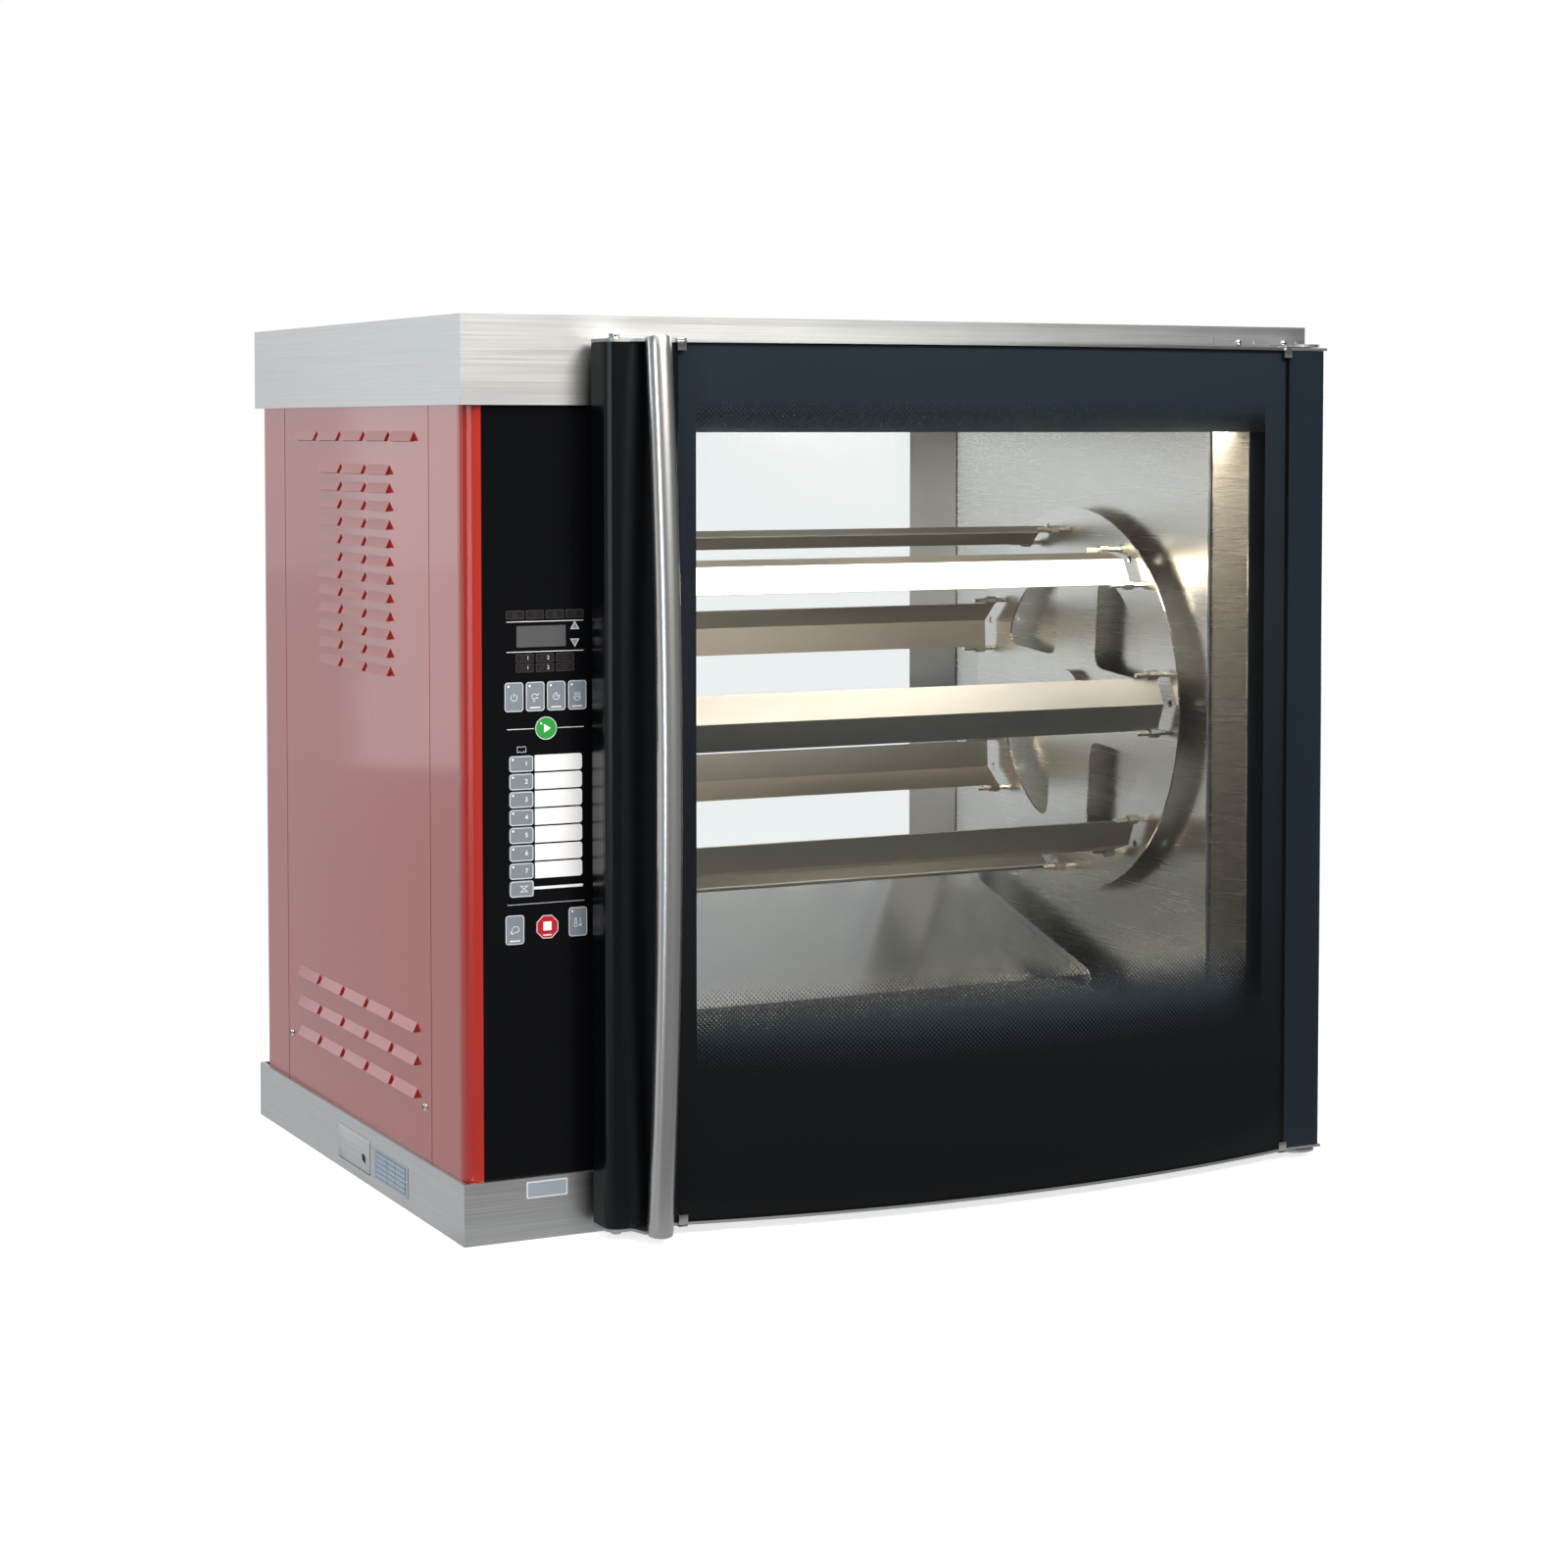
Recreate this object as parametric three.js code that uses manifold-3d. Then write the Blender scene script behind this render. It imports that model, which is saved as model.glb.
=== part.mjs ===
// Countertop pass-through rotisserie oven: a boxed cabinet with a glazed door front and rear,
// a seven-spit rotor on a horizontal shaft and a key panel beside the front door.
// Millimetres. Origin at the centre of the base's underside, +X right, -Y front, +Z up.
import * as THREE from "three";
import { mergeVertices } from "three/addons/utils/BufferGeometryUtils.js";
import { ConvexGeometry } from "three/addons/geometries/ConvexGeometry.js";
import Module from "manifold-3d";

// ---------------------------------------------------------------- driving dimensions

const gap = 0.3; // between pieces that touch
const weldSink = 0.4; // how far joined shapes reach into each other

const width = 1000;
const depth = 680;
const height = 920;
const topBand = 89; // height of the stainless tray on top
const baseBand = 62; // height of the stainless tray below
const trayWall = 4.7; // hemmed edge of a tray
const trayPlate = 3;
const skinInset = 5; // red skins stand this far inside the bands
const sheet = 1.5;
const skinTuck = 35; // how far the skins reach into the trays
const cornerRadius = 18;
const frontSeam = 105; // front corner piece, back from the front face
const rearSeam = 98; // rear corner, forward from the rear face
const seamLap = 28; // strip behind a seam that takes the screws

const panelWidth = 128; // control panel
const panelSheet = 3.5;
const cornerLap = 22; // strip behind the panel's left edge
const keyPocket = 2.6;
const keyBehind = 1.6; // part of a key that sits in its pocket
const keyProud = 0.8; // part of a key that stands out

const cavityLeft = 205; // inner faces of the cooking cavity, from the left face of the body
const cavityRight = 905;
const cavityFloor = 95;
const cavityBelowTop = 82; // cavity roof, down from the top of the body
const wallFrontInset = 43; // cavity walls, back from the front face
const wallRearInset = 60; // cavity walls, forward from the rear face
const framePlate = 3;
const frontSplay = 25; // front jamb opens by this much to each side
const frontSill = 80;
const rearJambLeft = 35; // rear jamb closes in by this much on each side
const rearJambRight = 35;
const rearSill = 107;
const rearLintelDrop = 18; // rear opening's top edge, down from the cavity roof

const rotorAxisIn = 300; // shaft axis, back from the front face
const rotorAxisUp = 488;
const discRadius = 227;
const discSheet = 2;
const discEndGap = 20; // disc face to cavity wall
const spokeWidth = 88;
const discRimInner = 165;
const cutoutFillet = 17;
const spokeTurn = 5; // degrees
const shaftRadius = 12.5;
const hubRadius = 34;
const hubLength = 12;
const spitCount = 7;
const firstSpit = 2.5; // degrees above the front
const pinRadius = 3;
const pinLength = 39;
const pinRadial = 198;
const pinSpread = 33;
const pegHoleRadius = 4.5;
const pegHoleRadial = 209.5;
const spitEdgeRadial = 196;
const spitApexRadial = 210;
const spitEdgeShort = 3.5; // a spit's edge stops this short of the pin's axis
const spitEndGap = 9;
const spitLoopLength = 12;
const spitLoopWall = 1.9;

const doorLeft = 134; // both doors, from the left face of the body
const doorRight = 994;
const doorLow = 10;
const doorBelowTop = 24;
const doorStandOff = 10; // gap between a door and the body
const doorEdgeDepth = 40;
const endPlate = 3;
const handleStile = 76;
const hingeStile = 50;
const glassBow = 43;
const glassSheet = 5;
const stileRound = 14;
const handleRadius = 13;
const handleIn = 46; // handle centre, from the door's left edge
const handleStandOff = 20; // handle centre at its ends, in front of the door's edge face
const handleBow = 24.5;
const hingeIn = 20; // hinge axis, from the door's right edge
const hingeOut = 22; // hinge axis, in front of the door's rear face
const hingePin = 5;
const hingePinReach = 14;
const hingeLeaf = 3;
const hingeLeafGap = 1;
const bracketLength = 112;
const bracketSheet = 2;
const bracketHeight = 11;

const rearHingeIn = 14; // rear hinge axis, from the door's right edge
const rearDoorDepth = 20;
const rearStile = 76;
const rearRail = 78;
const rearGlassSheet = 5;
const rearRebate = 12;
const rearHandleRadius = 10;
const rearHandleReach = 40;
const rearHandleLow = 330;
const rearHandleLength = 260;

const motorSize = { x: 96, y: 92, z: 104 };
const bearingRadius = 26;
const bushWall = 5;
const bearingFlange = 5;
const elementRadius = 5;
const elementRows = [-150, -70, 10, 90]; // Y of each run
const elementBelowRoof = 14;
const elementTurnRoom = 60; // from a side wall to the centre of the bends there
const elementTail = 22; // how far the two ends reach through the left wall
const elementOverlap = 2; // how far a bend reaches into its runs
const fan = { y: 150, z: 690, radius: 62, depth: 46, wall: 1.5, blades: 6, clearance: 9 };

// ---------------------------------------------------------------- places worked out from them

const left = -width / 2;
const right = width / 2;
const front = -depth / 2;
const rear = depth / 2;
const bandTopLow = height - topBand;
const cavityRoof = height - cavityBelowTop;
const rearLintel = cavityRoof - rearLintelDrop;
const doorHigh = height - doorBelowTop;
const spitHalfWidth = pinSpread - spitEdgeShort;
const skinLow = baseBand - skinTuck;
const skinHigh = bandTopLow + skinTuck;
const skinLeft = left + skinInset;
const skinRight = right - skinInset;
const skinFront = front + skinInset;
const skinRear = rear - skinInset;
const seamFrontY = front + frontSeam;
const seamRearY = rear - rearSeam;
const panelLeft = skinLeft + cornerRadius + gap;
const panelRight = panelLeft + panelWidth;
const wallLeftX = left + cavityLeft;
const wallRightX = left + cavityRight;
const wallFrontY = front + wallFrontInset;
const wallRearY = rear - wallRearInset;
const axisY = front + rotorAxisIn;
const bushHole = shaftRadius + bushWall + gap * 2;
const idlerDiscX = wallRightX - discEndGap;
const driveDiscX = wallLeftX + discEndGap;
const doorX0 = left + doorLeft;
const doorX1 = left + doorRight;
const doorBack = front - doorStandOff;
const doorFace = doorBack - doorEdgeDepth;
const hingeX = doorX1 - hingeIn;
const rearHingeX = doorX1 - rearHingeIn;
const frontHingeY = doorBack - hingeOut;
const handleX = doorX0 + handleIn;
const rearDoorBack = rear + doorStandOff;
const rearDoorFace = rearDoorBack + rearDoorDepth;
const rearHandleHigh = rearHandleLow + rearHandleLength;
const rearHingeY = rearDoorBack + rearDoorDepth / 2;

// ---------------------------------------------------------------- materials

const finishes = {
  stainless: { color: 0xb9bcbd, roughness: 0.32, metalness: 1 },
  redCoat: { color: 0xa3281d, roughness: 0.25, metalness: 0.1 },
  blackGlass: { color: 0x0b0d10, roughness: 0.08, metalness: 0 },
  clearGlass: { color: 0xdfe8e6, roughness: 0.03, metalness: 0, transparent: true, opacity: 0.25 },
  blackPaint: { color: 0x14161a, roughness: 0.35, metalness: 0.2 },
  greyKey: { color: 0x8a9297, roughness: 0.5, metalness: 0 },
  greenKey: { color: 0x2ba33f, roughness: 0.5, metalness: 0 },
  redKey: { color: 0xb92232, roughness: 0.5, metalness: 0 },
  elementSteel: { color: 0x5a5552, roughness: 0.5, metalness: 1 },
  motorPaint: { color: 0x6d7276, roughness: 0.5, metalness: 0.3 },
  boardGreen: { color: 0x1d5a36, roughness: 0.6, metalness: 0 },
  bronze: { color: 0xa87b43, roughness: 0.4, metalness: 1 },
};
const materials = Object.fromEntries(
  Object.entries(finishes).map(([name, look]) => [name, new THREE.MeshStandardMaterial(look)]),
);

// ---------------------------------------------------------------- solids from three.js geometry

const wasm = await Module();
wasm.setup();

function solid(geometry) {
  const loose = geometry.index ? geometry.toNonIndexed() : geometry;
  const bare = new THREE.BufferGeometry();
  bare.setAttribute("position", loose.getAttribute("position").clone());
  const merged = mergeVertices(bare, 1e-4);
  const corners = merged.index.array;
  const kept = [];
  for (let i = 0; i < corners.length; i += 3) {
    const [a, b, c] = corners.slice(i, i + 3);
    if (a !== b && b !== c && c !== a) kept.push(a, b, c);
  }
  const vertProperties = new Float32Array(merged.getAttribute("position").array);
  return new wasm.Manifold(new wasm.Mesh({ numProp: 3, vertProperties, triVerts: new Uint32Array(kept) }));
}

function geometryOf(body) {
  const { vertProperties, triVerts } = body.getMesh();
  const geometry = new THREE.BufferGeometry();
  geometry.setAttribute("position", new THREE.BufferAttribute(new Float32Array(vertProperties), 3));
  geometry.setIndex(new THREE.BufferAttribute(new Uint32Array(triVerts), 1));
  geometry.computeVertexNormals();
  return geometry;
}

const join = (...bodies) => bodies.reduce((sum, next) => sum.add(next));
const cut = (body, ...tools) => tools.reduce((rest, tool) => rest.subtract(tool), body);

function block([x0, x1], [y0, y1], [z0, z1]) {
  const geometry = new THREE.BoxGeometry(x1 - x0, y1 - y0, z1 - z0);
  return solid(geometry.translate((x0 + x1) / 2, (y0 + y1) / 2, (z0 + z1) / 2));
}

// Stands a shape drawn in XY along an axis: its plane is YZ for x, XZ for y and XY for z.
function along(axis, geometry, from, to) {
  if (axis === "x") {
    geometry.applyMatrix4(new THREE.Matrix4().set(0, 0, 1, from, 1, 0, 0, 0, 0, 1, 0, 0, 0, 0, 0, 1));
  } else if (axis === "y") {
    geometry.applyMatrix4(new THREE.Matrix4().set(1, 0, 0, 0, 0, 0, -1, to, 0, 1, 0, 0, 0, 0, 0, 1));
  } else {
    geometry.translate(0, 0, from);
  }
  return geometry;
}

function prism(axis, outline, from, to, holes = []) {
  const shape = new THREE.Shape(outline.map(([u, v]) => new THREE.Vector2(u, v)));
  shape.holes = holes.map((hole) => new THREE.Path(hole.map(([u, v]) => new THREE.Vector2(u, v))));
  const geometry = new THREE.ExtrudeGeometry(shape, { depth: to - from, bevelEnabled: false });
  return solid(along(axis, geometry, from, to));
}

function arc([u, v], radius, startDeg, endDeg, steps) {
  return Array.from({ length: steps + 1 }, (_, i) => {
    const angle = THREE.MathUtils.degToRad(startDeg + ((endDeg - startDeg) * i) / steps);
    return [u + radius * Math.cos(angle), v + radius * Math.sin(angle)];
  });
}

const circle = (centre, radius, sides) => arc(centre, radius, 0, 360 - 360 / sides, sides - 1);
const rod = (axis, centre, radius, from, to, sides = 16) =>
  prism(axis, circle(centre, radius, sides), from, to);

function roundedBox([u0, u1], [v0, v1], radius, steps = 2) {
  return [
    ...arc([u1 - radius, v0 + radius], radius, -90, 0, steps),
    ...arc([u1 - radius, v1 - radius], radius, 0, 90, steps),
    ...arc([u0 + radius, v1 - radius], radius, 90, 180, steps),
    ...arc([u0 + radius, v0 + radius], radius, 180, 270, steps),
  ];
}

// The outline of a sheet bent along a line: the line is its middle, corners are mitred.
function bentSheet(path, thickness) {
  const points = path.map(([u, v]) => new THREE.Vector2(u, v));
  const sides = [[], []];
  points.forEach((point, i) => {
    const before = points[Math.max(i - 1, 0)];
    const after = points[Math.min(i + 1, points.length - 1)];
    const arriving = point.clone().sub(before).normalize();
    const leaving = after.clone().sub(point).normalize();
    if (i === 0) arriving.copy(leaving);
    if (i === points.length - 1) leaving.copy(arriving);
    const middle = arriving.clone().add(leaving).normalize();
    const normal = new THREE.Vector2(-middle.y, middle.x);
    const reach = thickness / 2 / normal.dot(new THREE.Vector2(-leaving.y, leaving.x));
    sides[0].push([point.x + normal.x * reach, point.y + normal.y * reach]);
    sides[1].push([point.x - normal.x * reach, point.y - normal.y * reach]);
  });
  return [...sides[0], ...sides[1].reverse()];
}

function tubeAlong(curve, radius, sides, steps) {
  const section = new THREE.Shape(circle([0, 0], radius, sides).map(([u, v]) => new THREE.Vector2(u, v)));
  return solid(new THREE.ExtrudeGeometry(section, { steps, extrudePath: curve, bevelEnabled: false }));
}

// A hollow four-sided funnel between two openings, each { x: [from, to], z: [from, to], y }.
function funnel(near, far, thickness) {
  const corners = (opening, grow, push) =>
    [0, 1].flatMap((i) =>
      [0, 1].map((k) => {
        const side = (span, end) => span[end] + (end ? grow : -grow);
        return new THREE.Vector3(side(opening.x, i), opening.y + push, side(opening.z, k));
      }),
    );
  const outer = new ConvexGeometry([...corners(near, thickness, 0), ...corners(far, thickness, 0)]);
  const inner = new ConvexGeometry([...corners(near, 0, -0.01), ...corners(far, 0, 0.01)]);
  return cut(solid(outer), solid(inner));
}

function place(group, name, body, material, position = [0, 0, 0], turnX = 0) {
  const mesh = new THREE.Mesh(geometryOf(body), materials[material]);
  mesh.name = name;
  mesh.position.set(...position);
  mesh.rotation.x = turnX;
  group.add(mesh);
}

// ---------------------------------------------------------------- trays and skins

// A hinge lug welded to a band at the back: plate, gusset height and the pin that enters the rear door.
function rearHingeLug(pinUp) {
  const plateNear = pinUp ? doorLow - hingeLeafGap : doorHigh + hingeLeafGap;
  const plateFar = plateNear + (pinUp ? -hingeLeaf : hingeLeaf);
  const pinFar = plateNear + (pinUp ? hingePinReach : -hingePinReach);
  const spread = [plateNear, plateFar].sort((a, b) => a - b);
  const pinSpan = [pinFar, plateFar].sort((a, b) => a - b);
  const lug = block(
    [rearHingeX - rearHingeIn, rearHingeX + rearHingeIn],
    [rear - weldSink, rearHingeY + 8],
    spread,
  );
  return join(lug, rod("z", [rearHingeX, rearHingeY], hingePin, ...pinSpan));
}

function tray(low, high, openAbove) {
  const shell = block([left, right], [front, rear], [low, high]);
  const pocketHeight = openAbove ? [low + trayPlate, high + 1] : [low - 1, high - trayPlate];
  const pocket = block(
    [left + trayWall, right - trayWall],
    [front + trayWall, rear - trayWall],
    pocketHeight,
  );
  return join(cut(shell, pocket), rearHingeLug(openAbove));
}

// A strip welded behind one sheet and reaching past its edge, for the neighbour to be screwed to.
function lapStrip(edgeY, towards, sideX) {
  const inner = sideX < 0 ? [skinLeft + sheet + gap, skinLeft + sheet * 2 + gap] : [
    skinRight - sheet * 2 - gap, skinRight - sheet - gap,
  ];
  const touching = sideX < 0 ? [skinLeft + sheet - weldSink, inner[1]] : [inner[0], skinRight - sheet + weldSink];
  const own = [edgeY - towards * 14, edgeY - towards * gap].sort((a, b) => a - b);
  const beyond = [edgeY - towards * 14, edgeY + towards * seamLap].sort((a, b) => a - b);
  const span = [baseBand + 8, bandTopLow - 8];
  return join(block(touching, own, span), block(inner, beyond, span));
}

function leftFrontCorner() {
  const mid = sheet / 2;
  const bend = arc([skinLeft + cornerRadius, skinFront + cornerRadius], cornerRadius - mid, 270, 180, 6);
  const wrap = bentSheet([...bend, [skinLeft + mid, seamFrontY]], sheet);
  const lapY = [skinFront + panelSheet + gap, skinFront + panelSheet + gap + sheet];
  const bendInset = cornerRadius - lapY[0] + skinFront - mid;
  const lapStart = skinLeft + cornerRadius - Math.sqrt((cornerRadius - mid) ** 2 - bendInset ** 2);
  const panelLap = block([lapStart, panelLeft + cornerLap], lapY, [baseBand + 8, bandTopLow - 8]);
  return join(prism("z", wrap, skinLow, skinHigh), panelLap, lapStrip(seamFrontY, 1, -1));
}

function rightSidePanel() {
  const mid = sheet / 2;
  const bend = arc([skinRight - cornerRadius, skinFront + cornerRadius], cornerRadius - mid, 270, 360, 6);
  const wrap = bentSheet([...bend, [skinRight - mid, seamRearY - gap]], sheet);
  return prism("z", wrap, skinLow, skinHigh);
}

const louvre = { width: 69, pitch: 79.6, drop: 11, proud: 4.8, wall: 1 };
const louvreFields = [
  { columns: 5, rows: 1, firstY: 182, top: bandTopLow - 25, pitch: 0 },
  { columns: 3, rows: 12, firstY: 258, top: bandTopLow - 60, pitch: 19.1 },
  { columns: 5, rows: 3, firstY: 182, top: baseBand + 137.5, pitch: 34 },
];
const louvrePlaces = louvreFields.flatMap(({ columns, rows, firstY, top, pitch }) =>
  Array.from({ length: columns * rows }, (_, i) => ({
    y: front + firstY + (i % columns) * louvre.pitch,
    z: top - Math.floor(i / columns) * pitch,
  })),
);
const panelScrews = [
  { y: seamFrontY + 18, z: baseBand + 54 },
  { y: seamRearY - 15, z: baseBand + 54 },
];

function louvredSidePanel() {
  const plate = block(
    [skinLeft, skinLeft + sheet],
    [seamFrontY + gap, seamRearY - gap],
    [skinLow, skinHigh],
  );
  const half = louvre.width / 2;
  const hoods = louvrePlaces.map(({ y, z }) => {
    const outline = [
      [skinLeft + weldSink, z],
      [skinLeft + weldSink, z - louvre.drop],
      [skinLeft - louvre.proud, z - louvre.drop],
    ];
    return prism("y", outline, y - half, y + half);
  });
  const mouths = louvrePlaces.map(({ y, z }) => {
    const outline = [
      [skinLeft + sheet + 1, z - 2],
      [skinLeft + sheet + 1, z - louvre.drop - 0.5],
      [skinLeft - louvre.proud + louvre.wall * 1.3, z - louvre.drop - 0.5],
      [skinLeft + weldSink, z - 2],
    ];
    return prism("y", outline, y - half + louvre.wall, y + half - louvre.wall);
  });
  const screwHoles = panelScrews.map(({ y, z }) =>
    rod("x", [y, z], 2.2, skinLeft - 1, skinLeft + sheet + 1, 10),
  );
  return cut(join(plate, ...hoods), join(...mouths), ...screwHoles);
}

// ---------------------------------------------------------------- frames and cavity

const cavityMouth = { x: [wallLeftX, wallRightX], z: [cavityFloor, cavityRoof] };

function frontFrame() {
  const plateBack = skinFront + framePlate;
  const opening = { x: [wallLeftX - frontSplay, wallRightX + frontSplay], z: [frontSill, cavityRoof] };
  const plate = block(
    [panelRight + gap, skinRight - cornerRadius - gap],
    [skinFront, plateBack],
    [skinLow, skinHigh],
  );
  const hole = block(opening.x, [skinFront - 1, plateBack + 1], opening.z);
  const jamb = funnel(
    { ...opening, y: plateBack - weldSink },
    { ...cavityMouth, y: wallFrontY - gap },
    sheet,
  );
  return join(cut(plate, hole), jamb);
}

function rearFrame() {
  const mid = sheet / 2;
  const turn = cornerRadius - mid;
  const leftBend = arc([skinLeft + cornerRadius, skinRear - cornerRadius], turn, 180, 90, 6);
  const rightBend = arc([skinRight - cornerRadius, skinRear - cornerRadius], turn, 90, 0, 6);
  const path = [
    [skinLeft + mid, seamRearY],
    ...leftBend,
    ...rightBend,
    [skinRight - mid, seamRearY],
  ];
  const wrap = prism("z", bentSheet(path, sheet), skinLow, skinHigh);
  const opening = {
    x: [wallLeftX + rearJambLeft, wallRightX - rearJambRight],
    z: [rearSill, rearLintel],
  };
  const hole = block(opening.x, [skinRear - sheet - 1, skinRear + 1], opening.z);
  const jamb = funnel(
    { ...cavityMouth, y: wallRearY + gap },
    { ...opening, y: skinRear - sheet + weldSink },
    sheet,
  );
  return join(cut(wrap, hole), jamb, lapStrip(seamRearY, -1, -1), lapStrip(seamRearY, -1, 1));
}

const wallY = [wallFrontY, wallRearY];
const wallZ = [cavityFloor + gap, cavityRoof - gap];
const fanSlots = Array.from({ length: 7 }, (_, i) => (i - 3) * 16);

function cavityLeftWall() {
  const wall = block([wallLeftX - sheet, wallLeftX], wallY, wallZ);
  const shaftHole = rod("x", [axisY, rotorAxisUp], bushHole, wallLeftX - 5, wallLeftX + 5, 24);
  const slots = fanSlots.map((offset) => {
    const half = Math.sqrt((fan.radius - 6) ** 2 - offset ** 2);
    return block(
      [wallLeftX - 5, wallLeftX + 5],
      [fan.y + offset - 4, fan.y + offset + 4],
      [fan.z - half, fan.z + half],
    );
  });
  const leads = [elementRows[0], elementRows[elementRows.length - 1]].map((y) =>
    rod("x", [y, cavityRoof - elementBelowRoof], elementRadius + 1.5, wallLeftX - 5, wallLeftX + 5, 12),
  );
  return cut(wall, shaftHole, ...slots, ...leads);
}

function cavityRightWall() {
  const wall = block([wallRightX, wallRightX + sheet], wallY, wallZ);
  return cut(wall, rod("x", [axisY, rotorAxisUp], bushHole, wallRightX - 5, wallRightX + 5, 24));
}

const pan = { side: 30, rise: 6, trough: 118, step: 165, stepY: -90, slope: 16, lip: 150, sheet: 1.5 };

// Seen from the side: a front lip, a flat trough, a step, and a sheet that falls towards the trough.
function dripPan() {
  const mid = pan.sheet / 2;
  const frontY = wallFrontY + 12;
  const backY = wallRearY - 12;
  const backZ = pan.step + (backY - pan.stepY) * Math.tan(THREE.MathUtils.degToRad(pan.slope));
  const line = [
    [frontY, pan.lip],
    [frontY, pan.trough],
    [pan.stepY, pan.trough],
    [pan.stepY, pan.step],
    [backY, backZ],
    [backY, backZ + 14],
  ];
  const x0 = wallLeftX + pan.side;
  const x1 = wallRightX - pan.side;
  const cheek = [
    [frontY - mid, pan.lip],
    [frontY - mid, cavityFloor + gap],
    [backY + mid, cavityFloor + gap],
    [backY + mid, backZ + pan.rise],
    [pan.stepY, pan.step + pan.rise],
    [pan.stepY - 8, pan.step - 4],
    [pan.stepY - 8, pan.lip],
  ];
  return join(
    prism("x", bentSheet(line, pan.sheet), x0, x1),
    prism("x", cheek, x0 - pan.sheet, x0 + weldSink),
    prism("x", cheek, x1 - weldSink, x1 + pan.sheet),
  );
}

// ---------------------------------------------------------------- control panel and its keys

const grey = "greyKey";
const tallKey = { width: 19.6, height: 29, corner: 3, material: grey };
const wideKey = { width: 25.8, height: 16.3, corner: 3, material: grey };
const programTop = 476;
const programPitch = 17.8;
const keys = [
  { name: "key_up", x: 121.6, z: 611, shape: "up", size: 5.6, material: grey },
  { name: "key_down", x: 121.6, z: 596, shape: "down", size: 5.6, material: grey },
  { name: "key_power", x: 56.4, z: 542.5, ...tallKey },
  { name: "key_cook", x: 78.9, z: 542.5, ...tallKey },
  { name: "key_hold", x: 101.4, z: 542.5, ...tallKey },
  { name: "key_lamp", x: 123.9, z: 542.5, ...tallKey },
  { name: "key_start", x: 90.4, z: 510.5, shape: "round", size: 11.5, material: "greenKey" },
  ...Array.from({ length: 7 }, (_, i) => ({
    name: "key_program_" + (i + 1),
    x: 63.8,
    z: programTop - i * programPitch,
    ...wideKey,
  })),
  { name: "key_clear", x: 63.8, z: programTop - 7 * programPitch, ...wideKey },
  { name: "key_menu", x: 56.4, z: 311, ...tallKey },
  { name: "key_stop", x: 91.0, z: 312, shape: "octagon", size: 12.6, material: "redKey" },
  { name: "key_probe", x: 123.9, z: 315, ...tallKey },
];

function keyOutline({ shape, size, width: w, height: h, corner }, grow = 0) {
  const reach = size + grow;
  if (shape === "round") return circle([0, 0], reach, 24);
  if (shape === "octagon") return arc([0, 0], reach, 22.5, 337.5, 7);
  if (shape) {
    const tip = shape === "up" ? 1 : -1;
    return arc([0, 0], size + grow * 2, tip * 90, tip * 90 + 240, 2);
  }
  const half = [w / 2 + grow, h / 2 + grow];
  return roundedBox([-half[0], half[0]], [-half[1], half[1]], corner + grow);
}

const keyPlace = ({ x, z }) => [left + x, skinFront, z];
const keyBody = (key) => prism("y", keyOutline(key), -keyProud, keyBehind);

function controlPanel() {
  const plate = block([panelLeft, panelRight], [skinFront, skinFront + panelSheet], [skinLow, skinHigh]);
  const pockets = keys.map((key) =>
    prism("y", keyOutline(key, gap), -1, keyPocket).translate(keyPlace(key)),
  );
  return cut(plate, ...pockets);
}

// ---------------------------------------------------------------- parts inside the left compartment

function gearMotor() {
  const x1 = wallLeftX - sheet - 14;
  const x0 = x1 - motorSize.x;
  const gearbox = block(
    [x0, x1],
    [axisY - motorSize.y / 2, axisY + motorSize.y / 2],
    [rotorAxisUp - motorSize.z / 2, rotorAxisUp + motorSize.z / 2],
  );
  const can = rod("z", [(x0 + x1) / 2, axisY], 36, rotorAxisUp - motorSize.z / 2 - 92, rotorAxisUp, 20);
  const feet = [-1, 1].flatMap((a) =>
    [-1, 1].map((b) => {
      const foot = [axisY + a * (motorSize.y / 2 - 8), rotorAxisUp + b * (motorSize.z / 2 - 8)];
      return rod("x", foot, 5, x1 - 2, wallLeftX - sheet - gap, 10);
    }),
  );
  const shaftBore = rod("x", [axisY, rotorAxisUp], shaftRadius + 1, x0 + 12, x1 + 20, 24);
  return cut(join(gearbox, can, ...feet), shaftBore);
}

function controlBoard() {
  const boardY = skinFront + 34;
  const board = block([panelLeft + 14, panelRight - 14], [boardY, boardY + 1.6], [300, 640]);
  const transformer = block([panelLeft + 24, panelLeft + 64], [boardY + 1, boardY + 36], [312, 352]);
  const relays = [0, 1, 2].map((i) =>
    block([panelLeft + 26, panelLeft + 54], [boardY + 1, boardY + 17], [400 + i * 30, 414 + i * 30]),
  );
  const standOffs = [316, 624].flatMap((z) =>
    [panelLeft + cornerLap + 8, panelRight - 20].map((x) =>
      rod("y", [x, z], 3, skinFront + panelSheet + gap, boardY + weldSink, 8),
    ),
  );
  return join(board, transformer, ...relays, ...standOffs);
}

function fanHousing() {
  const open = wallLeftX - sheet - gap;
  const closed = open - fan.depth;
  const outer = fan.radius + fan.clearance + fan.wall;
  const cup = cut(
    rod("x", [fan.y, fan.z], outer, closed, open, 28),
    rod("x", [fan.y, fan.z], outer - fan.wall, closed + fan.wall, open + 1, 28),
    rod("x", [fan.y, fan.z], 9, closed - 1, closed + fan.wall + 1, 16),
  );
  return cup;
}

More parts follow.
